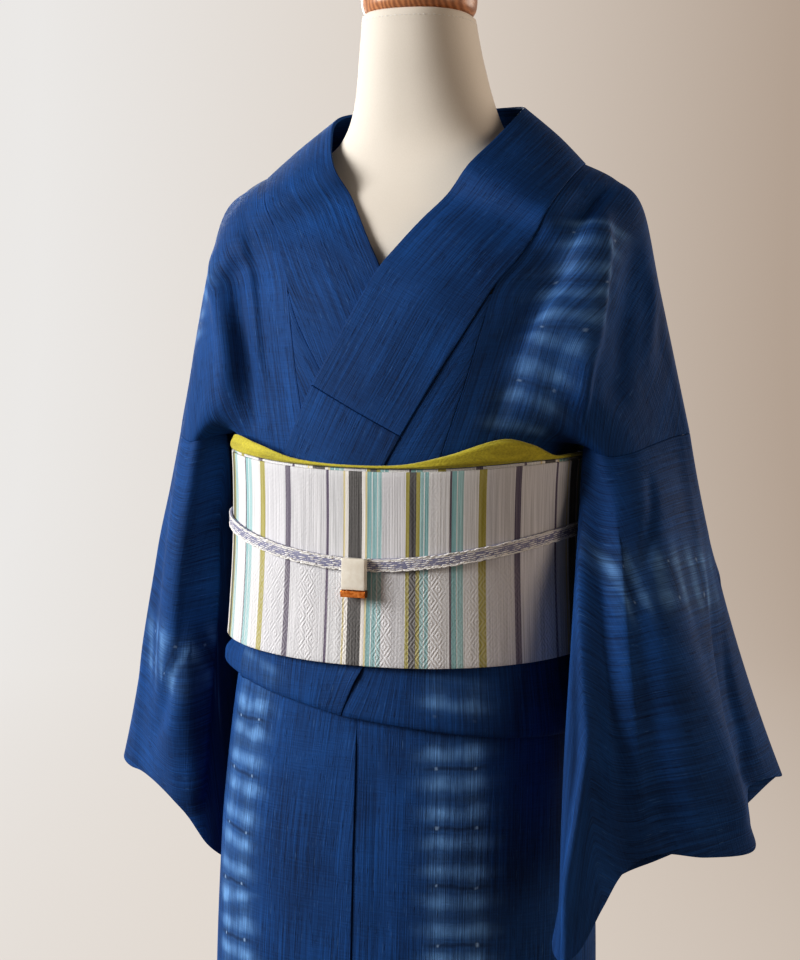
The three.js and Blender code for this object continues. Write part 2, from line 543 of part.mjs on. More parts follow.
/** Points from a to b, held back from each by a gap. */
function across(a, b, steps, gapA, gapB, bow = 0) {
  const length = a.distanceTo(b);
  const way = b.clone().sub(a);
  const out = vec(0, -1, 0);
  return Array.from({ length: steps + 1 }, (_, i) => {
    const t = gapA / length + (i / steps) * (1 - (gapA + gapB) / length);
    return a.clone().addScaledVector(way, t).addScaledVector(out, bow * 4 * t * (1 - t));
  });
}

const collarRow = ({ inner, middle, outer }) => through([inner, middle, outer], 4);

function panelGrid(edges, side, layer) {
  return PANEL.map((row, i) => {
    const behind = i >= BACK_ROW;
    const back = smooth(clamp01((i - SHOULDER_ROW) / 5));
    const off = layer + (LAYER.back - layer) * back + CLOTH / 2;
    const turn = (p) => place([side * p[0], ...p.slice(1)], off, behind);
    const neck = i <= BACK_ROW ? edges[i].seam : place(BACK_SEAM[i - BACK_ROW - 1], off, true);
    const line = through([neck, turn(row.chest), turn(row.side), turn(row.fold), turn(row.edge)], 8);
    const start = line[0].clone().lerp(line[1], (SEAM + 0.1) / line[0].distanceTo(line[1]));
    return [start, ...line.slice(1)];
  });
}

/** The sleeve's lines, from the panel's edge (or the open inner edge) to the wrist, as a ring of columns. */
function sleeveGrid(panel, table) {
  const lines = table.map(({ row, start, wrist, bow }) => {
    const from = start ? vec(...start) : panel[row][panel[row].length - 1].clone();
    const to = vec(...wrist);
    const way = to.clone().sub(from);
    return Array.from({ length: SLEEVE_STEPS + 1 }, (_, k) => {
      const t = k / SLEEVE_STEPS;
      return from.clone().addScaledVector(way, t).addScaledVector(vec(...bow), 4 * t * (1 - t));
    });
  });
  return Array.from({ length: SLEEVE_STEPS + 1 }, (_, k) => lines.map((line) => line[k]));
}

/** Gives the panel's edge and the sleeve's rim one shared normal, and parts them by the seam's gap. */
function sewSleeve(panel, panelNormals, sleeve, sleeveNormals, table) {
  table.forEach(({ row }, j) => {
    if (row === undefined) return;
    const last = panel[row].length - 1;
    const [a, b] = [panelNormals[row][last], sleeveNormals[0][j]];
    const shared = a.clone().addScaledVector(b, Math.sign(a.dot(b)) || 1).normalize();
    panelNormals[row][last] = shared;
    sleeveNormals[0][j] = shared.clone().multiplyScalar(Math.sign(a.dot(b)) || 1);
    const away = sleeve[1][j].clone().sub(sleeve[0][j]);
    away.addScaledVector(shared, -away.dot(shared)).normalize();
    sleeve[0][j].addScaledVector(away, SEAM + 0.15);
  });
}

function addBodice() {
  const left = frontEdges(UPPER_EDGE, LAYER.left);
  const right = frontEdges(UNDER_EDGE, LAYER.right);
  const sides = [
    { name: 'left', edges: left, side: 1, layer: LAYER.left, table: SLEEVE_ON_LEFT_ARM },
    { name: 'right', edges: right, side: -1, layer: LAYER.right, table: SLEEVE_ON_RIGHT_ARM },
  ];
  for (const { name, edges, side, layer, table } of sides) {
    const panel = panelGrid(edges, side, layer);
    const sleeve = sleeveGrid(panel, table);
    const [panelNormals, sleeveNormals] = [normalsOf(panel), normalsOf(sleeve, true)];
    sewSleeve(panel, panelNormals, sleeve, sleeveNormals, table);
    panel.forEach((row, i) => {
      if (i > BACK_ROW) row[0].x = side * SEAM / 2;
      if (i === BACK_ROW) row[0].x = side * SEAM / 2;
    });
    add(`body_panel_${name}`, wall(panel, CLOTH, { normals: panelNormals }), indigo);
    add(`sleeve_${name}`, wall(sleeve, CLOTH, { ring: true, normals: sleeveNormals }), indigo);

    const toPoint = edges.slice(0, OVERLAP_ROW).map(({ rim, seam }) => ({ rim, seam }));
    const [below, point] = [edges[OVERLAP_ROW - 1], edges[OVERLAP_ROW]];
    toPoint.push({ rim: below.rim.clone().lerp(point.rim, 0.8), seam: below.seam.clone().lerp(point.seam, 0.8) });
    const overlap = toPoint.map(({ rim, seam }) => across(rim, seam, 3, SEAM + 0.1, SEAM / 2, 0.6));
    add(`okumi_${name}_upper`, wall(overlap, CLOTH), indigo);

    const end = edges.slice(0, COLLAR_END_ROW + 1).map((edge) => collarRow(edge));
    const stop = end[COLLAR_END_ROW];
    const before = end[COLLAR_END_ROW - 1];
    stop.forEach((p, j) => p.addScaledVector(before[j].clone().sub(p).normalize(), SEAM + 0.1));
    add(`collar_end_${name}`, wall(end, COLLAR), indigo);
  }
  const front = (edges) => edges.slice(COLLAR_END_ROW).map((edge) => collarRow(edge));
  const over = [...front(left), ...front(right).reverse().slice(1)];
  add('over_collar', wall(over, COLLAR), indigo);
}

// The obi and what ties it

// Height of the obi's upper edge at an angle from the front.
function obiTop(deg) {
  const [s, c] = [Math.sin((deg * Math.PI) / 180), Math.cos((deg * Math.PI) / 180)];
  return OBI_TOP + OBI_RISE * s * s - OBI_DIP * Math.max(0, c) ** 3;
}

function addObi() {
  const around = columns(0, SEAMS.length - 1).slice(0, -1);
  const foot = (x) => OBI_BOTTOM + 0.0003 * x * x;
  const turn = (layer, shift) => {
    const grid = [0, 0.45, 0.75, 1].map((t) => around.map((deg) => {
      const low = foot(onRing(deg, OBI_BOTTOM, layer).x) + shift;
      return onRing(deg, low + (obiTop(deg) + shift - low) * t, layer + OBI / 2);
    }));
    return wall(grid, OBI, { ring: true });
  };
  add('obi_inner_turn', turn(LAYER.obiInner, 2), obiCloth);
  add('obi_outer_turn', turn(LAYER.obiOuter, 0), obiCloth);

  const profile = [];
  for (const deg of [-45, -22, 0, 22, 44, 64]) {
    const [s, c] = [Math.sin(deg * Math.PI / 180), Math.cos(deg * Math.PI / 180)];
    const grow = DRUM / 2 + 0.6;
    profile.push(vec(0, PILLOW.y + (PILLOW.depth + grow) * s, PILLOW.z + (PILLOW.height + grow) * c));
  }
  DRUM_SIDE.forEach(({ y, z }) => profile.push(vec(0, y, z)));
  const line = through(profile, 34);
  const stations = [-1, -0.6, -0.2, 0.2, 0.6, 1];
  const drum = line.map((p) => stations.map((s) => vec((s * DRUM_WIDTH) / 2, p.y, p.z)));
  add('obi_drum', wall(drum, DRUM), obiCloth);

  const hand = new THREE.BoxGeometry(HAND_WIDTH, 5, HAND_HEIGHT);
  hand.translate(0, 147 + DRUM / 2 + 0.5 + 2.5, 960);
  hand.deleteAttribute('normal');
  hand.deleteAttribute('uv');
  add('obi_hand', mergeVertices(hand), obiCloth);
}

function addSash() {
  const around = columns(0, SEAMS.length - 1).slice(0, -1);
  const sides = 8;
  const rings = around.map((full) => {
    const deg = full > 180 ? full - 360 : full;
    const [out, half, footZ, tall] = ['out', 'half', 'foot', 'tall'].map((column) => track(SASH, 'deg', column, deg));
    return Array.from({ length: sides }, (_, k) => {
      const a = ((k + 0.5) / sides) * 2 * Math.PI;
      const z = footZ + obiTop(deg) - OBI_TOP + tall / 2 + (tall / 2) * Math.sin(a);
      const lean = onRing(deg, OBI_TOP, out + half * Math.cos(a));
      return vec(lean.x, lean.y, z);
    });
  });
  add('obiage', loft(rings, true), sashCloth);
}

/** The line of the obijime: round the obi, then straight over the hand inside the drum. */
function addCord() {
  const out = LAYER.obiOuter + OBI + SEAM + CORD_THICK / 2;
  const sideDeg = [...columns(3, 4).slice(-4, -1).map((deg) => deg - 360), ...columns(0, 1), columns(2, 2)[1]];
  const front = sideDeg.map((deg) => {
    const rise = CORD_RISE * Math.abs(Math.sin((deg * Math.PI) / 180)) ** 1.6;
    return onRing(deg, CORD_Z + rise, out);
  });
  const handFace = 147 + DRUM / 2 + 0.5 + 5 + SEAM + CORD_THICK / 2;
  const half = HAND_WIDTH / 2;
  const corner = [90, 45, 0].map((deg) => [
    half + 2.6 * Math.sin((deg * Math.PI) / 180), handFace - 2.4 + 2.4 * Math.cos((deg * Math.PI) / 180)]);
  const rightHalf = [[half + 2.6, handFace - 16], ...corner, [half * 0.5, handFace]];
  const back = [...rightHalf, [0, handFace], ...rightHalf.map(([x, y]) => [-x, y]).reverse()];
  const line = [...front, ...back.map(([x, y]) => vec(x, y, CORD_BACK_Z))];
  const rings = line.map((p, i) => {
    const way = line[(i + 1) % line.length].clone().sub(line[(i + line.length - 1) % line.length]).normalize();
    const across2 = way.clone().cross(vec(0, 0, 1)).normalize();
    return [[1, 0.35], [0.6, 1], [-0.6, 1], [-1, 0.35], [-1, -0.35], [-0.6, -1], [0.6, -1], [1, -0.35]].map(([a, b]) => (
      p.clone().addScaledVector(across2, (a * CORD_THICK) / 2).add(vec(0, 0, (b * CORD_WIDTH) / 2))));
  });
  add('obijime', loft(rings, true), cordSilk);
}

function addBrooch() {
  const frontFace = onRing(-3, CORD_Z, LAYER.obiOuter + OBI + SEAM + CORD_THICK).y - 0.7;
  const block = (width, height, depth, z) => {
    const shape = new THREE.BoxGeometry(width, depth, height, 1, 1, 1);
    shape.translate(BROOCH.x, frontFace - depth / 2, z);
    shape.deleteAttribute('normal');
    shape.deleteAttribute('uv');
    return mergeVertices(shape);
  };
  add('obidome', block(BROOCH.width, BROOCH.height, BROOCH.depth, BROOCH.z), ivory);
  const trimZ = BROOCH.z - BROOCH.height / 2 - SEAM - BROOCH.trim / 2;
  add('obidome_trim', block(BROOCH.width + 1, BROOCH.trim, BROOCH.depth + 0.6, trimZ), amber);
}

addForm();
addSkirt();
addTuck();
addBodice();
addObi();
addSash();
addCord();
addBrooch();

export default group;
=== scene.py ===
"""A worn tsumugi kimono with its striped obi in a drum bow, on a limbless dress form.

Lengths are in millimetres until a mesh is made, where they become metres. +Z is up, the front faces -Y.
Left and right in names are the wearer's, so the left side lies at +X.
"""

import logging
import math
from collections.abc import Callable, Sequence
from dataclasses import dataclass, field
from enum import Enum

import bmesh
import bpy
import numpy as np
from mathutils import Matrix, Vector


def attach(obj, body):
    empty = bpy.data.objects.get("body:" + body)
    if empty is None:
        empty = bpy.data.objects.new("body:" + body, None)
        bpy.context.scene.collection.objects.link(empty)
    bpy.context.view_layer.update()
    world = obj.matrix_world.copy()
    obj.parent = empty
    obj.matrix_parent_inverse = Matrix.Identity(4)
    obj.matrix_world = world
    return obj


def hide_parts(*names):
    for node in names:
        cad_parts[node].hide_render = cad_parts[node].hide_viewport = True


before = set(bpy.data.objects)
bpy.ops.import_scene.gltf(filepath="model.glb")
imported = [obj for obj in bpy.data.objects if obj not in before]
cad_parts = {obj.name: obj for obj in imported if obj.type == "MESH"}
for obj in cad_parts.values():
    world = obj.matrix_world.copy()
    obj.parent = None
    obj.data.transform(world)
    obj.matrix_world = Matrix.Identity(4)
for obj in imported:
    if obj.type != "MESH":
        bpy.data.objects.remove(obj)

LOG = logging.getLogger("kimono")
MM = 0.001
Array = np.ndarray
Pair = tuple[float, float]
Triple = tuple[float, float, float]

SEAM = 0.3
CLOTH = 1.2
COLLAR = 2.6
OBI = 2.0
DRUM = 3.0
ROUND = 2.3
# Sewn edges lie closer here than the solids do, so that a seam is a fine line.
SEWN = 0.12
GAP_DEGREES = math.degrees(SEWN / 2 / 140)


class Layer(float, Enum):
    """How far the inner face of each layer lies outside the body, in mm."""

    SKIRT_INNER = 0.0
    SKIRT_OUTER = 1.5
    RIGHT = 3.9
    BACK = 5.7
    LEFT = 7.5
    OBI_INNER = 11.5
    OBI_OUTER = 13.8


class Slot(str, Enum):
    """The record's material slots."""

    TSUMUGI = "tsumugi_silk"
    OBI = "obi_silk"
    CREPE = "obiage_crepe"
    CORD = "cord_silk"
    IVORY = "ivory_ceramic"
    COPPER = "copper"
    FORM = "form_cloth"
    WOOD = "wood"
    STAND = "stand_enamel"


# Tables of the cut, the same named values as the solids have

# Height, half width, depth in front, depth behind, and where in depth the ring is widest.
BODY_RINGS: tuple[tuple[float, ...], ...] = (
    (45, 138, 102, 106, 0), (200, 147, 107, 111, 0), (400, 156, 112, 117, 0), (600, 161, 113, 120, 0),
    (740, 157, 110, 119, 0), (800, 152, 107, 116, 0), (850, 146, 105, 111, 0), (900, 139, 102, 104, 0),
    (940, 136, 100, 99, 0), (980, 134, 99, 97, 0), (1020, 133.5, 99, 97, 0), (1055, 134.5, 100, 98, 0),
    (1090, 138, 100, 101, 1), (1120, 143, 98, 104, 3), (1150, 149, 94, 107, 6), (1180, 155, 87, 109, 10),
    (1200, 159, 80, 110, 13), (1220, 162, 70, 109, 16), (1237, 163, 61, 107, 19), (1250, 161, 51, 104, 21),
    (1262, 154, 41, 101, 23), (1275, 137, 31, 97, 26), (1290, 112, 23, 92, 28), (1305, 88, 19, 87, 29),
    (1320, 71, 19, 82, 29), (1345, 59, 24, 76, 26), (1385, 50, 33, 62, 15), (1418, 45, 37, 52, 8),
)

# Collar's inner edge, its outer edge, and the front panel's seam, from the waist over the shoulder to the
# middle of the back. Two numbers are x and z of a point on the chest, three a point that stands free.
UPPER_EDGE: tuple[tuple[tuple[float, ...], ...], ...] = (
    ((-107, 985), (-30, 948), (27, 948)), ((-84, 1036), (-9, 1000), (43, 1000)),
    ((-63, 1080), (11, 1043), (55, 1043)),
    ((-45, 1118), (31, 1080), (66, 1080)), ((-22, 1160), (54, 1121), (78, 1121)),
    ((0, 1205), (78, 1164), (88, 1164)),
    ((15, 1228), (95, 1196), (95, 1196)), ((29, 1248), (109, 1217), (109, 1217)),
    ((44, 1269), (119, 1237), (119, 1237)),
    ((60, -40, 1292), (127, -44, 1256), (127, -44, 1256)),
    ((72, -10, 1315), (133, -14, 1278), (133, -14, 1278)),
    ((80, 32, 1341), (135, 28, 1296), (135, 28, 1296)), ((72, 66, 1350), (122, 75, 1300), (122, 75, 1300)),
    ((46, 92, 1354), (82, 110, 1296), (82, 110, 1296)), ((0, 103, 1354), (0, 122, 1288), (0, 122, 1288)),
)
UNDER_EDGE: tuple[tuple[tuple[float, ...], ...], ...] = (
    ((112, 985), (44, 948), (-25, 948)), ((94, 1036), (26, 1000), (-35, 1000)),
    ((74, 1078), (7, 1043), (-44, 1043)),
    ((54, 1115), (-12, 1080), (-52, 1080)), ((32, 1157), (-34, 1121), (-61, 1121)),
    ((4, 1208), (-62, 1164), (-70, 1164)),
    ((-12, 1232), (-78, 1196), (-78, 1196)), ((-24, 1249), (-89, 1219), (-89, 1219)),
    ((-40, 1270), (-100, 1241), (-100, 1241)),
    ((-56, -34, 1292), (-113, -43, 1261), (-113, -43, 1261)),
    ((-70, -8, 1315), (-128, -12, 1281), (-128, -12, 1281)),
    ((-82, 32, 1340), (-139, 28, 1294), (-139, 28, 1294)),
    ((-72, 66, 1350), (-122, 75, 1300), (-122, 75, 1300)),
    ((-46, 92, 1354), (-82, 110, 1296), (-82, 110, 1296)), ((0, 103, 1354), (0, 122, 1288), (0, 122, 1288)),
)
OVERLAP_ROW = 6
COLLAR_END_ROW = 3
BACK_ROW = 14
SHOULDER_ROW = 11

# The panel from its front seam to its arm edge, on the wearer's left, one row a station from front to back:
# chest, side, fold, and arm edge.
PANEL: tuple[tuple[tuple[float, ...], ...], ...] = (
    ((70, 948), (106, 948), (131, 948), (142, -5, 948)),
    ((80, 1000), (112, 1000), (132, 1000), (142, -4, 1000)),
    ((86, 1043), (113, 1043), (130, -48, 1063), (141, -7, 1067)),
    ((95, 1078), (118, -71, 1076), (141, -53, 1079), (156, -30, 1073)),
    ((104, 1117), (129, -79, 1106), (156, -63, 1087), (172, -46, 1068)),
    ((113, 1156), (137, -76, 1140), (164, -61, 1107), (183, -44, 1066)),
    ((120, 1187), (145, -66, 1168), (171, -55, 1125), (196, -32, 1069)),
    ((133, 1207), (156, -52, 1184), (179, -42, 1140), (204, -17, 1073)),
    ((142, -49, 1227), (165, -38, 1204), (186, -26, 1152), (212, 0, 1077)),
    ((149, -34, 1246), (172, -24, 1222), (192, -10, 1166), (219, 14, 1080)),
    ((156, -8, 1267), (178, -2, 1241), (196, 6, 1180), (224, 22, 1081)),
    ((160, 30, 1284), (184, 28, 1262), (201, 24, 1192), (227, 30, 1082)),
    ((150, 72, 1285), (175, 62, 1256), (198, 50, 1184), (223, 46, 1081)),
    ((122, 104, 1278), (157, 92, 1242), (188, 75, 1166), (214, 63, 1078)),
    ((68, 122, 1270), (126, 113, 1226), (171, 96, 1140), (198, 80, 1073)),
    ((58, 122, 1222), (113, 116, 1184), (158, 104, 1110), (188, 82, 1068)),
    ((50, 118, 1152), (98, 112, 1126), (138, 82, 1092), (170, 60, 1071)),
    ((46, 1088), (88, 1082), (124, 67, 1080), (156, 32, 1073)),
    ((46, 1043), (86, 1043), (120, 1063), (141, 7, 1067)),
    ((46, 1000), (86, 1000), (120, 1000), (141, 4, 1000)),
    ((46, 948), (86, 948), (120, 948), (142, 5, 948)),
)
BACK_SEAM: tuple[tuple[float, ...], ...] = ((0, 124, 1238), (0, 118, 1160), (0, 1090), (0, 1043), (0, 1000),
                                            (0, 948))


@dataclass(frozen=True)
class SleeveLine:
    """One line down a sleeve: where it starts, where it meets the wrist, and how its middle stands out.

    Attributes:
        start: the panel's row that it is sewn to, or the point where the open inner edge starts.
        wrist: its end at the wrist opening.
        bow: how far the middle of the line stands out.
    """

    start: int | Triple
    wrist: Triple
    bow: Triple


LEFT_ARM: tuple[SleeveLine, ...] = (
    SleeveLine(11, (305, 55, 803), (-9, 2, 0)), SleeveLine(10, (297, 36, 805), (-7, -6, 0)),
    SleeveLine(9, (285, 14, 801), (-6, -12, 0)), SleeveLine(8, (291, -14, 781), (-4, -20, 0)),
    SleeveLine(7, (297, -36, 766), (-2, -26, 0)), SleeveLine(6, (268, -72, 768), (0, -28, 0)),
    SleeveLine(5, (236, -94, 773), (0, -22, 0)), SleeveLine(4, (214, -108, 762), (-4, -4, 0)),
    SleeveLine(3, (203, -132, 740), (-6, -14, 0)),
    SleeveLine((158, -38, 1000), (192, -154, 714), (-6, -16, 0)),
    SleeveLine((160, -46, 930), (181, -160, 706), (-4, -10, 0)),
    SleeveLine((164, -52, 860), (172, -152, 708), (0, 0, 0)),
    SleeveLine((168, -46, 800), (168, -136, 716), (0, 0, 0)),
    SleeveLine((172, -18, 850), (178, -122, 726), (0, 0, 0)),
    SleeveLine((168, 8, 925), (192, -104, 742), (0, 0, 0)),
    SleeveLine((162, 24, 1000), (208, -84, 752), (0, 4, 0)),
    SleeveLine(17, (228, -62, 758), (0, 8, 0)), SleeveLine(16, (248, -36, 764), (0, 14, 0)),
    SleeveLine(15, (268, -8, 772), (0, 18, 0)), SleeveLine(14, (283, 22, 786), (0, 16, 0)),
    SleeveLine(13, (296, 48, 798), (-6, 12, 0)), SleeveLine(12, (303, 60, 803), (-9, 8, 0)),
)
RIGHT_ARM: tuple[SleeveLine, ...] = (
    SleeveLine(11, (-303, 55, 761), (4, 2, 0)), SleeveLine(10, (-295, 42, 759), (3, -6, 0)),
    SleeveLine(9, (-283, 32, 757), (2, -14, 0)), SleeveLine(8, (-267, 22, 757), (0, -12, 0)),
    SleeveLine(7, (-250, 8, 756), (0, -12, 0)), SleeveLine(6, (-232, -6, 753), (0, -18, 0)),
    SleeveLine(5, (-213, -16, 745), (0, -18, 0)), SleeveLine(4, (-199, -14, 730), (0, -12, 0)),
    SleeveLine(3, (-186, -8, 708), (-4, 0, 0)), SleeveLine((-158, -14, 1000), (-176, 0, 696), (-4, 0, 0)),
    SleeveLine((-160, -2, 930), (-170, 8, 691), (-3, 0, 0)),
    SleeveLine((-163, 8, 860), (-167, 14, 690), (0, 0, 0)),
    SleeveLine((-167, 16, 800), (-168, 20, 694), (0, 0, 0)),
    SleeveLine((-167, 24, 850), (-173, 26, 700), (0, 0, 0)),
    SleeveLine((-164, 28, 925), (-182, 32, 708), (0, 0, 0)),
    SleeveLine((-161, 31, 1000), (-194, 38, 716), (0, 4, 0)),
    SleeveLine(17, (-210, 42, 724), (0, 8, 0)), SleeveLine(16, (-230, 54, 732), (0, 14, 0)),
    SleeveLine(15, (-252, 62, 742), (0, 18, 0)), SleeveLine(14, (-272, 68, 751), (0, 16, 0)),
    SleeveLine(13, (-290, 68, 758), (3, 12, 0)), SleeveLine(12, (-300, 62, 761), (4, 8, 0)),
)
ARM_LINES = 22
OPEN_LINES = (8, 16)
BACK_LINE_ROW = 17


# Curves and rings


def smooth(t: Array | float) -> Array:
    """Goes from 0 to 1 with no slope at either end."""
    t = np.clip(t, 0.0, 1.0)
    return t * t * (3 - 2 * t)


def spline(points: Array, at: Array, closed: bool = False) -> Array:
    """Points of a smooth line through others.

    Args:
        points: the points that it passes, along the first axis.
        at: places along the line, counted in points.
        closed: whether the last point joins the first.

    Returns:
        One point for each place.
    """
    count = len(points)
    spans = count if closed else count - 1
    i = np.clip(np.floor(at).astype(int), 0, spans - 1)
    t = (at - i).reshape((-1,) + (1,) * (points.ndim - 1))
    weights = (
        -0.5 * t + t**2 - 0.5 * t**3,
        1 - 2.5 * t**2 + 1.5 * t**3,
        0.5 * t + 2 * t**2 - 1.5 * t**3,
        -0.5 * t**2 + 0.5 * t**3,
    )
    total = 0.0
    for k, weight in enumerate(weights):
        j = i - 1 + k
        total = total + weight * points[j % count if closed else np.clip(j, 0, count - 1)]
    return total


def track(rows: Array, column: int, at: Array) -> Array:
    """The value of a column on a smooth line through a table's rows, whose first column is ascending.

    Args:
        rows: the table.
        column: which column to read.
        at: values of the first column.

    Returns:
        One value for each.
    """
    key, value = rows[:, 0], rows[:, column]
    at = np.asarray(at, float)
    last = len(rows) - 1
    i = np.clip(np.searchsorted(key, at), 1, last)
    a, b, before, after = i - 1, i, np.maximum(0, i - 2), np.minimum(last, i + 1)
    span = key[b] - key[a]
    t = np.clip((at - key[a]) / span, 0, 1)
    rise = value[b] - value[a]
    first = (value[b] - value[before]) / (key[b] - key[before]) * span
    second = (value[after] - value[a]) / (key[after] - key[a]) * span
    return (
        value[a] + t * first + t**2 * (3 * rise - 2 * first - second) + t**3 * (first + second - 2 * rise)
    )


@dataclass(frozen=True)
class Body:
    """The rounded rings that every layer is worn on."""

    rings: Array = field(default_factory=lambda: np.array(BODY_RINGS, float))
    power: float = ROUND

    def ring_at(self, z: Array, off: Array | float) -> tuple[Array, Array, Array, Array]:
        """Half width, widest depth, front depth and back depth of the ring at a height, grown by off."""
        half, front, back, mid = (track(self.rings, k, z) for k in (1, 2, 3, 4))
        return half + off, mid, front + mid + off, back - mid + off

    def on_ring(self, degrees: Array, z: Array, off: Array | float) -> Array:
        """Points on the rings, by the angle from the front towards the wearer's left."""
        degrees, z, off = np.broadcast_arrays(degrees, z, off)
        half, mid, front, back = self.ring_at(z, off)
        s, c = np.sin(np.radians(degrees)), np.cos(np.radians(degrees))
        x = half * np.sign(s) * np.abs(s) ** (2 / self.power)
        y = mid - np.sign(c) * np.where(c > 0, front, back) * np.abs(c) ** (2 / self.power)
        return np.stack([x, y, z.astype(float)], axis=-1)

    def on_chest(self, x: Array | float, z: Array | float, off: Array | float, behind: bool = False) -> Array:
        """Points of the chest, or of the back, by their x and z."""
        half, mid, front, back = self.ring_at(np.asarray(z, float), off)
        reach = (1 - np.minimum(0.999, np.abs(x / half)) ** self.power) ** (1 / self.power)
        y = mid + back * reach if behind else mid - front * reach
        return np.stack(np.broadcast_arrays(x, y, z), axis=-1).astype(float)

    def place(self, point: Sequence[float], off: float, behind: bool = False) -> Array:
        """A table's point: two numbers lie on the body, three stand free."""
        if len(point) == 3:
            return np.array(point, float)
        return self.on_chest(point[0], point[1], off, behind)


BODY = Body()


# The photograph's view


@dataclass(frozen=True)
class PhotoView:
    """The photograph's camera, which also tells where a point of the cloth is seen.

    Attributes:
        azimuth: degrees round the figure, from its front towards its left.
        distance: mm from the figure's axis.
        height: mm above the floor.
        focal: focal length in pixels of the frame.
        pitch: degrees that it looks down.
        roll: degrees that the figure's top leans right.
        axis_px: where the figure's axis is seen.
        frame_px: width and height of the photograph.
    """

    azimuth: float = 20.0
    distance: float = 1380.0
    height: float = 1153.0
    focal: float = 1656.0
    pitch: float = 4.8
    roll: float = 0.7
    axis_px: float = 410.0
    frame_px: tuple[int, int] = (800, 960)

    def place(self) -> Array:
        """The camera's place in mm."""
        a = math.radians(self.azimuth)
        return np.array([math.sin(a) * self.distance, -math.cos(a) * self.distance, self.height])

    def axes(self) -> tuple[Array, Array, Array]:
        """The right, up and forward directions."""
        b = math.radians(self.azimuth) + math.atan((self.axis_px - self.frame_px[0] / 2) / self.focal)
        pitch, roll = math.radians(self.pitch), math.radians(self.roll)
        level = np.array([-math.sin(b), math.cos(b), 0.0])
        right = np.array([math.cos(b), math.sin(b), 0.0])
        forward = level * math.cos(pitch) - np.array([0, 0, 1.0]) * math.sin(pitch)
        up = np.cross(right, forward)
        right = right * math.cos(roll) + up * math.sin(roll)
        return right, np.cross(right, forward), forward

    def seen_at(self, points: Array) -> tuple[Array, Array]:
        """Where points are seen.

        Args:
            points: places in mm, along the last axis.

        Returns:
            Pixels, and the depth in mm.
        """
        right, up, forward = self.axes()
        way = points - self.place()
        depth = way @ forward
        across = self.frame_px[0] / 2 + self.focal * (way @ right) / depth
        down = self.frame_px[1] / 2 - self.focal * (way @ up) / depth
        return np.stack([across, down], axis=-1), depth

    def add(self) -> bpy.types.Object:
        """Adds the camera to the scene and makes it the one that is used."""
        right, up, forward = self.axes()
        data = bpy.data.cameras.new("photo_view")
        data.sensor_width = 36.0
        data.lens = self.focal / max(self.frame_px) * data.sensor_width
        data.clip_end = 50.0
        camera = bpy.data.objects.new("photo_view", data)
        turn = Matrix((right, up, -forward)).transposed().to_4x4()
        camera.matrix_world = Matrix.Translation(Vector(self.place() * MM)) @ turn
        bpy.context.scene.collection.objects.link(camera)
        bpy.context.scene.camera = camera
        return camera


VIEW = PhotoView()


# Cloth


class Where(Enum):
    """What the points of a line on the cloth are counted in."""

    PHOTO = "pixels of the photograph"
    FLAT = "mm on the flat cloth"


@dataclass(frozen=True)
class Crease:
    """A fold that is raised or sunk along a line.

    Attributes:
        path: points of the line.
        high: its height in mm, negative for a valley.
        left: how far it reaches on the left of someone who walks along it on the cloth's outside, in mm.
        right: how far it reaches on the right.
        fade: the parts of its length over which it rises and dies away.
        where: what the points are counted in.
    """

    path: tuple[Pair, ...]
    high: float
    left: float
    right: float
    fade: Pair = (0.25, 0.25)
    where: Where = Where.PHOTO


@dataclass(frozen=True)
class Band:
    """A tie-dyed band: two columns of pale spots along a line.

    Attributes:
        path: points of its middle.
        strength: how pale it is, from 0 to 1.
        shift: where its first row of stitches lies, in mm.
        where: what the points are counted in.
    """

    path: tuple[Pair, ...]
    strength: float = 1.0
    shift: float = 0.0
    where: Where = Where.PHOTO


RIM = ((0.03, 0.25), (0.2, 0.6), (0.55, 0.9), (1.0, 1.0))
RIM_REACH = 0.7


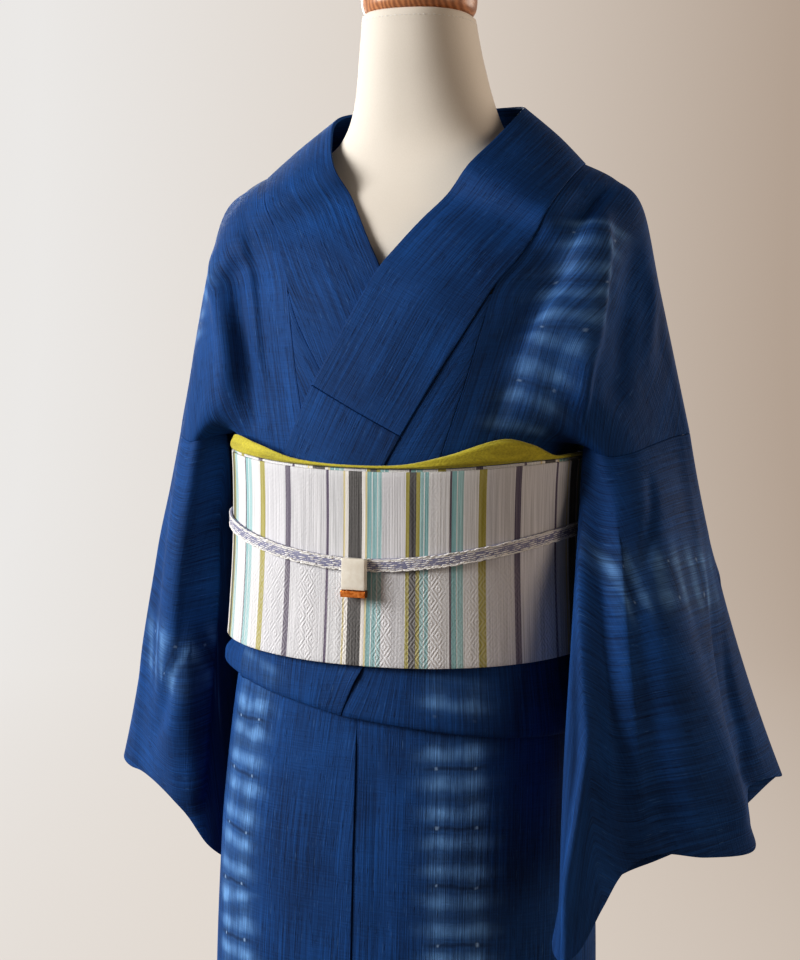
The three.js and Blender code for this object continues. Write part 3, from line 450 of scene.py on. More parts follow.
@dataclass
class Cloth:
    """A grid of points along the middle of a wall of cloth.

    Attributes:
        grid: rows by columns by 3, in mm.
        thick: the wall's thickness.
        closed: whether the last column joins the first.
        warp_rows: whether the warp runs from row to row, or else from column to column.
        tube: whether outside is away from the middle of each row, or else away from the body.
        bands: its tie-dyed bands.
        fullness: share of the thickness that each point has, set here, where the rim thins.
        flip: whether the grid's own normals point inwards, set here.
        flat: each point's place in the flat cloth in mm, set here.
    """

    grid: Array
    thick: float = CLOTH
    closed: bool = False
    warp_rows: bool = True
    tube: bool = False
    bands: tuple[Band, ...] = ()
    fullness: Array | None = None

    def __post_init__(self) -> None:
        """Adds the lines that round the rim off, and finds which way is out."""
        self.fullness = np.ones(self.grid.shape[:2])
        self._round_rim(0)
        if not self.closed:
            self._round_rim(1)
        natural = self._natural_normals(self.grid)
        if self.tube:
            pivot = self.grid.mean(axis=1, keepdims=True)
        else:
            pivot = self.grid * (0, 0, 1) + (0, 20, 0)
        self.flip = float(np.sum(natural * (self.grid - pivot))) < 0
        self.flat = self._flatten()

    def _round_rim(self, axis: int) -> None:
        """Puts lines close to both edges of an axis, where the wall thins to a round rim."""
        grid, full = (np.moveaxis(x, axis, 0) for x in (self.grid, self.fullness))
        radius = min(self.thick / 2, RIM_REACH)

        def lines(edge: int, inward: int) -> tuple[list[Array], list[Array]]:
            length = np.linalg.norm(grid[inward] - grid[edge], axis=-1, keepdims=True)
            near = [grid[edge] + (grid[inward] - grid[edge]) * np.minimum(0.8 * (k + 1) / 4,
                                                                          d * radius / length)
                    for k, (d, _) in enumerate(RIM)]
            return near, [full[edge] * f for _, f in RIM]

        first, first_full = lines(0, 1)
        last, last_full = lines(-1, -2)
        self.grid = np.moveaxis(np.concatenate([first, grid[1:-1], last[::-1]]), 0, axis)
        self.fullness = np.moveaxis(np.concatenate([first_full, full[1:-1], last_full[::-1]]), 0, axis)

    def _natural_normals(self, grid: Array) -> Array:
        """Unit normals of the grid, along its columns crossed with its rows."""
        if self.closed:
            along = np.roll(grid, -1, axis=1) - np.roll(grid, 1, axis=1)
        else:
            along = np.gradient(grid, axis=1)
        normals = np.cross(along, np.gradient(grid, axis=0))
        return normals / np.maximum(1e-9, np.linalg.norm(normals, axis=-1, keepdims=True))

    def normals(self) -> Array:
        """Unit normals that point out."""
        return self._natural_normals(self.grid) * (-1 if self.flip else 1)

    def _flatten(self) -> Array:
        """The place of each point on the flat cloth in mm, across the warp and along it."""
        grid = np.concatenate([self.grid, self.grid[:, :1]], axis=1) if self.closed else self.grid
        across = np.cumsum(np.linalg.norm(np.diff(grid, axis=1, prepend=grid[:, :1]), axis=-1), axis=1)
        along = np.cumsum(np.linalg.norm(np.diff(grid, axis=0, prepend=grid[:1]), axis=-1), axis=0)
        return np.stack([across, along] if self.warp_rows else [along, across], axis=-1)

    def points_flat(self) -> Array:
        """The flat place of each point of the grid, with no doubled column."""
        return self.flat[:, : self.grid.shape[1]]

    def trace(self, path: Sequence[Pair], where: Where) -> Array:
        """A line's points on the flat cloth in mm.

        Args:
            path: the line's points.
            where: what they are counted in.

        Returns:
            Points on the flat cloth, evenly along the line.
        """
        points = np.array(path, float)
        if where is Where.PHOTO:
            pixels, depth = VIEW.seen_at(self.grid)
            facing = np.sum(self.normals() * (VIEW.place() - self.grid), axis=-1) > 0
            flat = self.points_flat()
            found = []
            for pixel in points:
                gap = np.linalg.norm(pixels - pixel, axis=-1) + np.where(facing, 0, 60)
                gap = gap + 0.05 * (depth - depth.min())
                found.append(flat[np.unravel_index(np.argmin(gap), gap.shape)])
            points = np.array(found)
        return spline(points, np.linspace(0, len(points) - 1, 60))

    def measure(self, line: Array) -> tuple[Array, Array, float]:
        """Each point's signed distance from a flat line, how far along the line it lies, and its length."""
        step = np.linalg.norm(np.diff(line, axis=0), axis=-1)
        run = np.concatenate([[0], np.cumsum(step)])
        flat = self.points_flat()
        gap = np.full(flat.shape[:2], np.inf)
        side = np.zeros(flat.shape[:2])
        along = np.zeros(flat.shape[:2])
        for k in range(len(line) - 1):
            way = (line[k + 1] - line[k]) / max(step[k], 1e-6)
            off = flat - line[k]
            t = np.clip(off @ way, 0, step[k])
            rest = off - t[..., None] * way
            distance = np.linalg.norm(rest, axis=-1)
            closer = distance < gap
            gap = np.where(closer, distance, gap)
            along = np.where(closer, run[k] + t, along)
            side = np.where(closer, np.sign(way[0] * rest[..., 1] - way[1] * rest[..., 0]), side)
        seen = 1 if self.flip != self.warp_rows else -1
        return gap * side * seen, along, float(run[-1])

    def fold(self, creases: Sequence[Crease], hold: Array | float = 1.0) -> None:
        """Moves the cloth out or in along its creases.

        Args:
            creases: the folds.
            hold: from 0 where the cloth is held still to 1 where it is free.
        """
        height = np.zeros(self.grid.shape[:2])
        for crease in creases:
            gap, along, length = self.measure(self.trace(crease.path, crease.where))
            reach = np.where(gap > 0, crease.left, crease.right)
            t = along / max(length, 1e-6)
            fade = smooth(t / max(crease.fade[0], 1e-3)) * smooth((1 - t) / max(crease.fade[1], 1e-3))
            height += crease.high * fade * np.exp(-((gap / reach) ** 2))
        self.grid = self.grid + self.normals() * (height * hold)[..., None]

    def dye(self) -> Array:
        """For each point: mm across the nearest band, mm along it, and its strength."""
        values = np.zeros(self.grid.shape)
        values[..., 0] = 1000.0
        for band in self.bands:
            gap, along, length = self.measure(self.trace(band.path, band.where))
            edge = smooth(along / 12) * smooth((length - along) / 12)
            nearer = np.abs(gap) < np.abs(values[..., 0])
            for k, value in enumerate((gap, along + band.shift, band.strength * edge)):
                values[..., k] = np.where(nearer, value, values[..., k])
        return values

    def build(self, name: str, finish: bpy.types.Material) -> bpy.types.Object:
        """Makes the closed wall round the grid.

        Args:
            name: the piece's name.
            finish: its material.

        Returns:
            The piece, at the origin.
        """
        rows, cols = self.grid.shape[:2]
        push = self.normals() * (self.fullness * self.thick / 2)[..., None]
        points = np.concatenate([(self.grid + push).reshape(-1, 3), (self.grid - push).reshape(-1, 3)])
        spans = cols if self.closed else cols - 1
        i, j = (x.ravel() for x in np.meshgrid(np.arange(rows - 1), np.arange(spans), indexing="ij"))
        zero, one = np.zeros_like(i), np.ones_like(i)
        corners = np.stack([np.stack([zero, i, j]), np.stack([zero, i, j + 1]),
                            np.stack([zero, i + 1, j + 1]),
                            np.stack([zero, i + 1, j])], axis=-1)
        faces = [corners, (corners + np.stack([one, zero, zero])[..., None])[..., ::-1]]
        k = np.arange(spans)
        side = np.zeros_like(k)
        for row, order in ((0, 1), (rows - 1, -1)):
            edge = [np.stack([side, side + row, k + 1]), np.stack([side, side + row, k]),
                    np.stack([side + 1, side + row, k]), np.stack([side + 1, side + row, k + 1])]
            faces.append(np.stack(edge, axis=-1)[..., ::order])
        if not self.closed:
            k = np.arange(rows - 1)
            side = np.zeros_like(k)
            for col, order in ((0, 1), (cols - 1, -1)):
                edge = [np.stack([side, k, side + col]), np.stack([side, k + 1, side + col]),
                        np.stack([side + 1, k + 1, side + col]), np.stack([side + 1, k, side + col])]
                faces.append(np.stack(edge, axis=-1)[..., ::order])
        grid_faces = np.concatenate(faces, axis=1)
        if self.flip:
            grid_faces = grid_faces[..., ::-1]
        wall, row, col = grid_faces
        index = wall * rows * cols + row * cols + col % cols
        mesh = bpy.data.meshes.new(name)
        mesh.from_pydata((points * MM).tolist(), [], index.tolist())
        mesh.uv_layers.new(name="Cloth").data.foreach_set("uv", (self.flat[row, col] * MM).ravel())
        if self.bands:
            dye = np.tile(self.dye().reshape(-1, 3), (2, 1))
            mesh.attributes.new("dye", "FLOAT_VECTOR", "POINT").data.foreach_set("vector", dye.ravel())
        mesh.polygons.foreach_set("use_smooth", [True] * len(mesh.polygons))
        mesh.materials.append(finish)
        return add_object(name, mesh)


# Meshes and pieces


def add_object(name: str, mesh: bpy.types.Mesh) -> bpy.types.Object:
    """Puts a mesh into the scene as an object at the origin."""
    mesh.update()
    piece = bpy.data.objects.new(name, mesh)
    bpy.context.scene.collection.objects.link(piece)
    return piece


def wear(piece: bpy.types.Object, slot: Slot, *nodes: str) -> bpy.types.Object:
    """Makes a piece ride on the row's one body and stand for its solids."""
    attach(piece, "root")
    if nodes:
        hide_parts(*nodes)
    LOG.info("%s: %d faces", piece.name, len(piece.data.polygons))
    return piece


def wear_sheet(cloth: Cloth, node: str, finish: bpy.types.Material, slot: Slot) -> bpy.types.Object:
    """Args:
        cloth: the panel.
        node: the solid that it stands for, which also names it.
        finish: its material.
        slot: the record's slot; not used.

    Returns:
        The piece.
    """
    piece = wear(cloth.build(f"{node}_cloth", finish), slot, node)
    return piece


def loft(name: str, rings: Array, finish: bpy.types.Material, loop: bool = False) -> bpy.types.Object:
    """A closed body through rings of points.

    Args:
        name: the piece's name.
        rings: rings by points by 3, in mm.
        finish: its material.
        loop: whether the last ring joins the first, or else both ends are closed.

    Returns:
        The piece, with its own map of mm round and along it.
    """
    count, sides = rings.shape[:2]
    spans = count if loop else count - 1
    i, j = (x.ravel() for x in np.meshgrid(np.arange(spans), np.arange(sides), indexing="ij"))
    row = np.stack([i, i, i + 1, i + 1], axis=-1)
    col = np.stack([j, j + 1, j + 1, j], axis=-1)
    faces = ((row % count) * sides + col % sides).tolist()
    around = np.linalg.norm(np.diff(np.concatenate([rings, rings[:, :1]], axis=1), axis=1), axis=-1)
    around = np.concatenate([np.zeros((count, 1)), np.cumsum(around, axis=1)], axis=1)
    along = np.linalg.norm(np.diff(np.concatenate([rings, rings[:1]]), axis=0).mean(axis=1), axis=-1)
    along = np.concatenate([[0], np.cumsum(along)])
    uv = np.stack([around[row % count, col], along[row]], axis=-1) * MM
    uv = uv.reshape(-1, 2).tolist()
    if not loop:
        faces += [list(range(sides))[::-1], list(range((count - 1) * sides, count * sides))]
        uv += [[0.0, 0.0]] * (2 * sides)
    mesh = bpy.data.meshes.new(name)
    mesh.from_pydata((rings.reshape(-1, 3) * MM).tolist(), [], faces)
    mesh.uv_layers.new(name="Cloth").data.foreach_set("uv", np.array(uv).ravel())
    mesh.polygons.foreach_set("use_smooth", [True] * len(mesh.polygons))
    mesh.materials.append(finish)
    work = bmesh.new()
    work.from_mesh(mesh)
    if work.calc_volume(signed=True) < 0:
        bmesh.ops.reverse_faces(work, faces=work.faces)
    work.to_mesh(mesh)
    work.free()
    return add_object(name, mesh)


def turned(name: str, outline: Sequence[Pair], finish: bpy.types.Material, centre: Pair = (0.0, 0.0),
           sides: int = 96) -> bpy.types.Object:
    """A body turned about an upright axis.

    Args:
        name: the piece's name.
        outline: radius and height of its outline, from the bottom up, in mm.
        finish: its material.
        centre: x and y of the axis.
        sides: points round it.

    Returns:
        The piece.
    """
    a = np.linspace(0, 2 * math.pi, sides, endpoint=False)
    rings = [np.stack([centre[0] + r * np.cos(a), centre[1] + r * np.sin(a), np.full(sides, z)], axis=-1)
             for r, z in outline]
    return loft(name, np.array(rings), finish)


def rounded(outline: Sequence[Pair], radius: float, steps: int = 4) -> list[Pair]:
    """An outline whose inner corners are rounded off.

    Args:
        outline: radius and height pairs.
        radius: of the rounding in mm, less where a side is short.
        steps: points of each rounding.

    Returns:
        The finer outline.
    """
    points = [np.array(p, float) for p in outline]
    result = [tuple(points[0])]
    for before, corner, after in zip(points, points[1:], points[2:]):
        reach = min(radius, np.linalg.norm(corner - before) * 0.45, np.linalg.norm(after - corner) * 0.45)
        start = corner + (before - corner) / np.linalg.norm(before - corner) * reach
        end = corner + (after - corner) / np.linalg.norm(after - corner) * reach
        for t in np.linspace(0, 1, steps + 1):
            result.append(tuple((1 - t) ** 2 * start + 2 * t * (1 - t) * corner + t * t * end))
    result.append(tuple(points[-1]))
    return result


# Repeating things along a path


def add(tree: bpy.types.NodeTree, kind: str, inputs: Sequence | dict | None = None,
        stops: Sequence | None = None,
        **settings: object) -> bpy.types.Node:
    """Adds a node with its settings and links.

    Args:
        tree: the node tree.
        kind: the node's type.
        inputs: values, sockets or nodes by the input's number or name.
        stops: for a colour ramp, places and hex colours or greys.
        settings: the node's own properties.

    Returns:
        The node.
    """
    node = tree.nodes.new(kind)
    for key, value in settings.items():
        setattr(node, key, value)
    pairs = inputs.items() if isinstance(inputs, dict) else enumerate(inputs or ())
    for key, value in pairs:
        socket = node.inputs[key]
        if isinstance(value, bpy.types.Node):
            value = value.outputs[0]
        if isinstance(value, bpy.types.NodeSocket):
            tree.links.new(value, socket)
        elif value is not None:
            socket.default_value = value
    if stops:
        elements = node.color_ramp.elements
        while len(elements) < len(stops):
            elements.new(1.0)
        for element, (place, tone) in zip(elements, stops):
            element.position = place
            element.color = colour(tone) if isinstance(tone, str) else (tone, tone, tone, 1.0)
    return node


def colour(code: str) -> tuple[float, float, float, float]:
    """An sRGB hex colour as linear values."""
    values = [int(code[k : k + 2], 16) / 255 for k in (1, 3, 5)]
    linear = [v / 12.92 if v <= 0.04045 else ((v + 0.055) / 1.055) ** 2.4 for v in values]
    return (linear[0], linear[1], linear[2], 1.0)


@dataclass(frozen=True)
class RepeatAlong:
    """Repeats one small grain along a path with Geometry Nodes.

    Attributes:
        spacing: mm from one grain to the next.
        length: of a grain along its own axis, in mm.
        width: of a grain, in mm.
        height: of a grain, in mm.
        tilt: degrees that a grain is turned on the surface.
        offset: mm that the row lies beside the path.
        lift: mm that the grains' middles stand out of the path.
        seed: of the small differences in size.
        fine: how often a grain's faces are divided.
    """

    spacing: float
    length: float
    width: float
    height: float
    tilt: float = 0.0
    offset: float = 0.0
    lift: float = 0.0
    seed: int = 1
    fine: int = 2

    def tree(self, finish: bpy.types.Material) -> bpy.types.NodeTree:
        """The node tree, with a named input for each size in metres and the tilt in radians."""
        tree = bpy.data.node_groups.new("grains_along_path", "GeometryNodeTree")
        faces = tree.interface
        faces.new_socket("Path", in_out="INPUT", socket_type="NodeSocketGeometry")
        for name in self.inputs():
            faces.new_socket(name, in_out="INPUT", socket_type="NodeSocketFloat")
        faces.new_socket("Seed", in_out="INPUT", socket_type="NodeSocketInt")
        faces.new_socket("Grains", in_out="OUTPUT", socket_type="NodeSocketGeometry")
        size = add(tree, "NodeGroupInput").outputs
        curve = add(tree, "GeometryNodeMeshToCurve", [size["Path"]])
        even = add(tree, "GeometryNodeResampleCurve", {"Curve": curve, "Length": size["Spacing"]},
                   mode="LENGTH")
        way = add(tree, "GeometryNodeInputTangent")
        out = add(tree, "GeometryNodeInputNamedAttribute", ["out"], data_type="FLOAT_VECTOR")
        turn = add(tree, "FunctionNodeAxesToRotation", [out, way], primary_axis="Z", secondary_axis="X")
        grain = add(tree, "GeometryNodeMeshIcoSphere", [0.5, self.fine])
        scale = add(tree, "ShaderNodeCombineXYZ", [size["Length"], size["Width"], size["Height"]])
        shaped = add(tree, "GeometryNodeTransform", {"Geometry": grain, "Scale": scale})
        uneven = add(tree, "FunctionNodeRandomValue", {2: 0.9, 3: 1.1, "Seed": size["Seed"]},
                     data_type="FLOAT")
        set_out = add(tree, "GeometryNodeInstanceOnPoints",
                      {"Points": even, "Instance": shaped, "Rotation": turn, "Scale": uneven.outputs[1]})
        beside = add(tree, "ShaderNodeCombineXYZ", [0.0, size["Offset"], size["Lift"]])
        moved = add(tree, "GeometryNodeTranslateInstances", {"Instances": set_out, "Translation": beside})
        tilt = add(tree, "ShaderNodeCombineXYZ", [0.0, 0.0, size["Tilt"]])
        tilted = add(tree, "GeometryNodeRotateInstances", {"Instances": moved, "Rotation": tilt})
        real = add(tree, "GeometryNodeRealizeInstances", [tilted])
        soft = add(tree, "GeometryNodeSetShadeSmooth", [real])
        dressed = add(tree, "GeometryNodeSetMaterial", {"Geometry": soft, "Material": finish})
        add(tree, "NodeGroupOutput", [dressed])
        return tree

    def inputs(self) -> dict[str, float]:
        """The tree's sizes by name, in metres, and the tilt in radians."""
        return {
            "Spacing": self.spacing * MM, "Length": self.length * MM, "Width": self.width * MM,
            "Height": self.height * MM, "Tilt": math.radians(self.tilt), "Offset": self.offset * MM,
            "Lift": self.lift * MM,
        }

    def build(self, name: str, path: Array, out: Array, finish: bpy.types.Material) -> bpy.types.Mesh:
        """Makes the grains as one plain mesh.

        Args:
            name: of the mesh.
            path: points in mm; grains start at the first.
            out: the direction in which the surface faces at each point.
            finish: their material.

        Returns:
            The mesh.
        """
        line = bpy.data.meshes.new(name)
        line.from_pydata((path * MM).tolist(), [(k, k + 1) for k in range(len(path) - 1)], [])
        line.attributes.new("out", "FLOAT_VECTOR", "POINT").data.foreach_set("vector", out.ravel())
        carrier = add_object(name, line)
        tree = self.tree(finish)
        modifier = carrier.modifiers.new("grains", "NODES")
        modifier.node_group = tree
        values = {**self.inputs(), "Seed": self.seed}
        for item in tree.interface.items_tree:
            if item.in_out == "INPUT" and item.name in values:
                modifier[item.identifier] = values[item.name]
        mesh = bpy.data.meshes.new_from_object(carrier.evaluated_get(bpy.context.evaluated_depsgraph_get()))
        carrier.modifiers.remove(modifier)
        bpy.data.objects.remove(carrier)
        bpy.data.node_groups.remove(tree)
        return mesh


def join(name: str, meshes: Sequence[bpy.types.Mesh]) -> bpy.types.Object:
    """One piece out of several meshes that have one material."""
    work = bmesh.new()
    for mesh in meshes:
        work.from_mesh(mesh)
    whole = bpy.data.meshes.new(name)
    work.to_mesh(whole)
    work.free()
    whole.materials.append(meshes[0].materials[0])
    return add_object(name, whole)


# Finishes


@dataclass(frozen=True)
class Shader:
    """A material's tree with its shader, ready for colour and bump.

    Attributes:
        material: the material.
        tree: its node tree.
        surface: its main shader node.
    """

    material: bpy.types.Material
    tree: bpy.types.NodeTree
    surface: bpy.types.Node

    def paint(self, tone: bpy.types.NodeSocket | bpy.types.Node) -> None:
        """Sets what gives the surface its colour."""
        add_link(self.tree, tone, self.surface.inputs["Base Color"])

    def emboss(self, height: bpy.types.Node, depth: float, strength: float = 1.0) -> None:
        """Raises the surface by a pattern.

        Args:
            height: gives 0 to 1.
            depth: the pattern's depth in mm.
            strength: how much of it shows.
        """
        bump = add(self.tree, "ShaderNodeBump",
                   {"Strength": strength, "Distance": depth * MM, "Height": height})
        add_link(self.tree, bump, self.surface.inputs["Normal"])


def add_link(tree: bpy.types.NodeTree, source: bpy.types.Node | bpy.types.NodeSocket,
             socket: bpy.types.NodeSocket) -> None:
    """Joins a node's first output, or a socket, to an input."""
    tree.links.new(source.outputs[0] if isinstance(source, bpy.types.Node) else source, socket)


def shader(name: str, **sockets: object) -> Shader:
    """A new material whose shader has fixed values on its own sockets.

    Args:
        name: the material's name.
        sockets: values by the socket's name, with _ for a space.

    Returns:
        The material and its shader.
    """
    material = bpy.data.materials.new(name)
    material.use_nodes = True
    tree = material.node_tree
    surface = tree.nodes["Principled BSDF"]
    for key, value in sockets.items():
        surface.inputs[key.replace("_", " ")].default_value = value
    return Shader(material, tree, surface)


@dataclass(frozen=True)
class TsumugiSilk:
    """Tsumugi, plain-woven from hand-spun silk floss, dyed in indigo with stitched and bound bands.

    The eye sees a soft dull blue with fine dark and pale threads of uneven width along the warp, short
    slubs, and pale blurred spots between dark stitch lines.

    Attributes:
        deep: the darkest thread.
        ground: the cloth's blue.
        pale: where the dye was held back.
        bare: undyed silk at the ends of a stitch line.
        thread: width of a thread in mm, drawn at four times the real one so that it shows.
        run: length over which a thread stays alike, in mm.
        slub: width and length of a slub in mm.
        row: from one dotted stitch line of a band to the next, in mm.
        column: from the band's middle to a column of spots, in mm.
        dot: from the band's middle to a bare dot, in mm.
    """

    deep: str = "#081733"
    ground: str = "#1b5296"
    pale: str = "#80b4f0"
    bare: str = "#a4c5f0"
    thread: float = 1.1
    run: float = 110.0
    slub: Pair = (1.2, 16.0)
    row: float = 46.5
    column: float = 13.5
    dot: float = 15.0

    def build(self) -> bpy.types.Material:
        """Makes the material."""
        make = shader("indigo_tsumugi_silk", Roughness=0.7, Specular_IOR_Level=0.12)
        tree = make.tree
        uv = add(tree, "ShaderNodeUVMap", uv_map="Cloth")

        def threads(width: float, length: float, detail: float) -> bpy.types.Node:
            """Uneven lines of a width and length in mm, across and along the warp."""
            scaled = add(tree, "ShaderNodeMapping", {0: uv, 3: (1000 / width, 1000 / length, 1.0)})
            return add(tree, "ShaderNodeTexNoise",
                       {"Vector": scaled, "Scale": 1.0, "Detail": detail, "Roughness": 0.6})

        warp = threads(self.thread, self.run, 3.0)
        weft = threads(26.0, self.thread * 1.2, 2.0)
        slubs = threads(self.slub[0], self.slub[1], 1.0)
        cloud = threads(70.0, 90.0, 2.0)
        dark_slub = add(tree, "ShaderNodeMapRange", [slubs, 0.63, 0.71, 0.0, 0.55],
                        interpolation_type="SMOOTHSTEP")
        light_slub = add(tree, "ShaderNodeMapRange", [slubs, 0.32, 0.25, 0.0, 0.12],
                         interpolation_type="SMOOTHSTEP")
        grain = add(tree, "ShaderNodeMapRange", [warp, 0.31, 0.69, 0.0, 1.0])
        cross_grain = add(tree, "ShaderNodeMapRange", [weft, 0.35, 0.65, 0.0, 1.0])
        depth = add(tree, "ShaderNodeMapRange", [cloud, 0.3, 0.7, 0.0, 0.35])
        mixed = add(tree, "ShaderNodeMath", [grain, 0.6], operation="MULTIPLY")
        mixed = add(tree, "ShaderNodeMath", [cross_grain, 0.12, mixed], operation="MULTIPLY_ADD")
        mixed = add(tree, "ShaderNodeMath", [mixed, depth], operation="ADD", use_clamp=True)
        ground = add(tree, "ShaderNodeMixRGB", [mixed, colour(self.deep), colour(self.ground)])
        ground = add(tree, "ShaderNodeMixRGB", [dark_slub, ground, colour(self.deep)])
        ground = add(tree, "ShaderNodeMixRGB", [light_slub, ground, colour(self.pale)])
        make.paint(self._dye(tree, ground, grain, uv))
        relief = add(tree, "ShaderNodeMath", [grain, 0.7], operation="MULTIPLY")
        relief = add(tree, "ShaderNodeMath", [cross_grain, 0.4, relief], operation="MULTIPLY_ADD")
        relief = add(tree, "ShaderNodeMath", [relief, dark_slub], operation="ADD")
        make.emboss(relief, 0.35, 0.8)
        return make.material

    def _dye(self, tree: bpy.types.NodeTree, ground: bpy.types.Node, grain: bpy.types.Node,
             uv: bpy.types.Node) -> bpy.types.Node:
        """Lays the bands over the ground.

        Args:
            tree: the material's tree.
            ground: the cloth's colour.
            grain: 0 to 1 from thread to thread.
            uv: the cloth's map.

        Returns:
            The colour with the bands.
        """
        spot = add(tree, "ShaderNodeAttribute", attribute_name="dye")
        place = add(tree, "ShaderNodeSeparateXYZ", [spot.outputs["Vector"]])
        wander = add(tree, "ShaderNodeMapping", {0: uv, 3: (1000 / 16, 1000 / 16, 1.0)})
        wander = add(tree, "ShaderNodeTexNoise", {"Vector": wander, "Scale": 1.0, "Detail": 2.0})
        shifts = add(tree, "ShaderNodeSeparateColor", [wander.outputs["Color"]])
        across = add(tree, "ShaderNodeMath", [shifts.outputs[0], 9.0, place.outputs[0]],
                     operation="MULTIPLY_ADD")
        across = add(tree, "ShaderNodeMath", [across, 4.5], operation="SUBTRACT")
        across = add(tree, "ShaderNodeMath", [across], operation="ABSOLUTE")
        along = add(tree, "ShaderNodeMath", [shifts.outputs[1], 7.0, place.outputs[1]],
                    operation="MULTIPLY_ADD")
        from_line = add(tree, "ShaderNodeMath", [along, self.row / 2], operation="PINGPONG")

        def near(value: bpy.types.Node, middle: float, reach: float) -> bpy.types.Node:
            """1 where the value is the middle, fading to 0 at the reach."""
            gap = add(tree, "ShaderNodeMath", [value, middle], operation="SUBTRACT")
            gap = add(tree, "ShaderNodeMath", [gap], operation="ABSOLUTE")
            return add(tree, "ShaderNodeMapRange", [gap, 0.0, reach, 1.0, 0.0],
                       interpolation_type="SMOOTHSTEP")

        def both(a: object, b: object) -> bpy.types.Node:
            """The product of two values."""
            return add(tree, "ShaderNodeMath", [a, b], operation="MULTIPLY")

        rows = add(tree, "ShaderNodeMath", [near(from_line, self.row / 4, 11.0), 0.25], operation="MAXIMUM")
        columns = near(across, self.column, 19.0)
        haze = both(near(across, 0.0, 44.0), 0.65)
        pale = add(tree, "ShaderNodeMath", [columns, haze], operation="MAXIMUM")
        threads = add(tree, "ShaderNodeMapRange", [grain, 0.15, 0.85, 0.45, 1.0])
        patchy = add(tree, "ShaderNodeMapRange", [shifts.outputs[2], 0.3, 0.65, 0.5, 0.9])
        pale = both(both(both(both(pale, rows), threads), place.outputs[2]), patchy)
        wide = add(tree, "ShaderNodeMapRange", [across, 15.0, 32.0, 0.6, 0.0],
                   interpolation_type="SMOOTHSTEP")
        line = both(both(near(from_line, 0.0, 3.0), wide), place.outputs[2])
        fold = both(both(near(from_line, self.row / 2, 4.0), wide), place.outputs[2])
        dots = both(both(near(across, self.dot, 2.2), near(from_line, 0.3, 1.5)), place.outputs[2])
        tone = add(tree, "ShaderNodeMixRGB", [pale, ground, colour(self.pale)])
        tone = add(tree, "ShaderNodeMixRGB", [both(fold, 0.3), tone, colour(self.deep)])
        tone = add(tree, "ShaderNodeMixRGB", [line, tone, colour(self.deep)])
        return add(tree, "ShaderNodeMixRGB", [both(dots, 0.6), tone, colour(self.bare)])


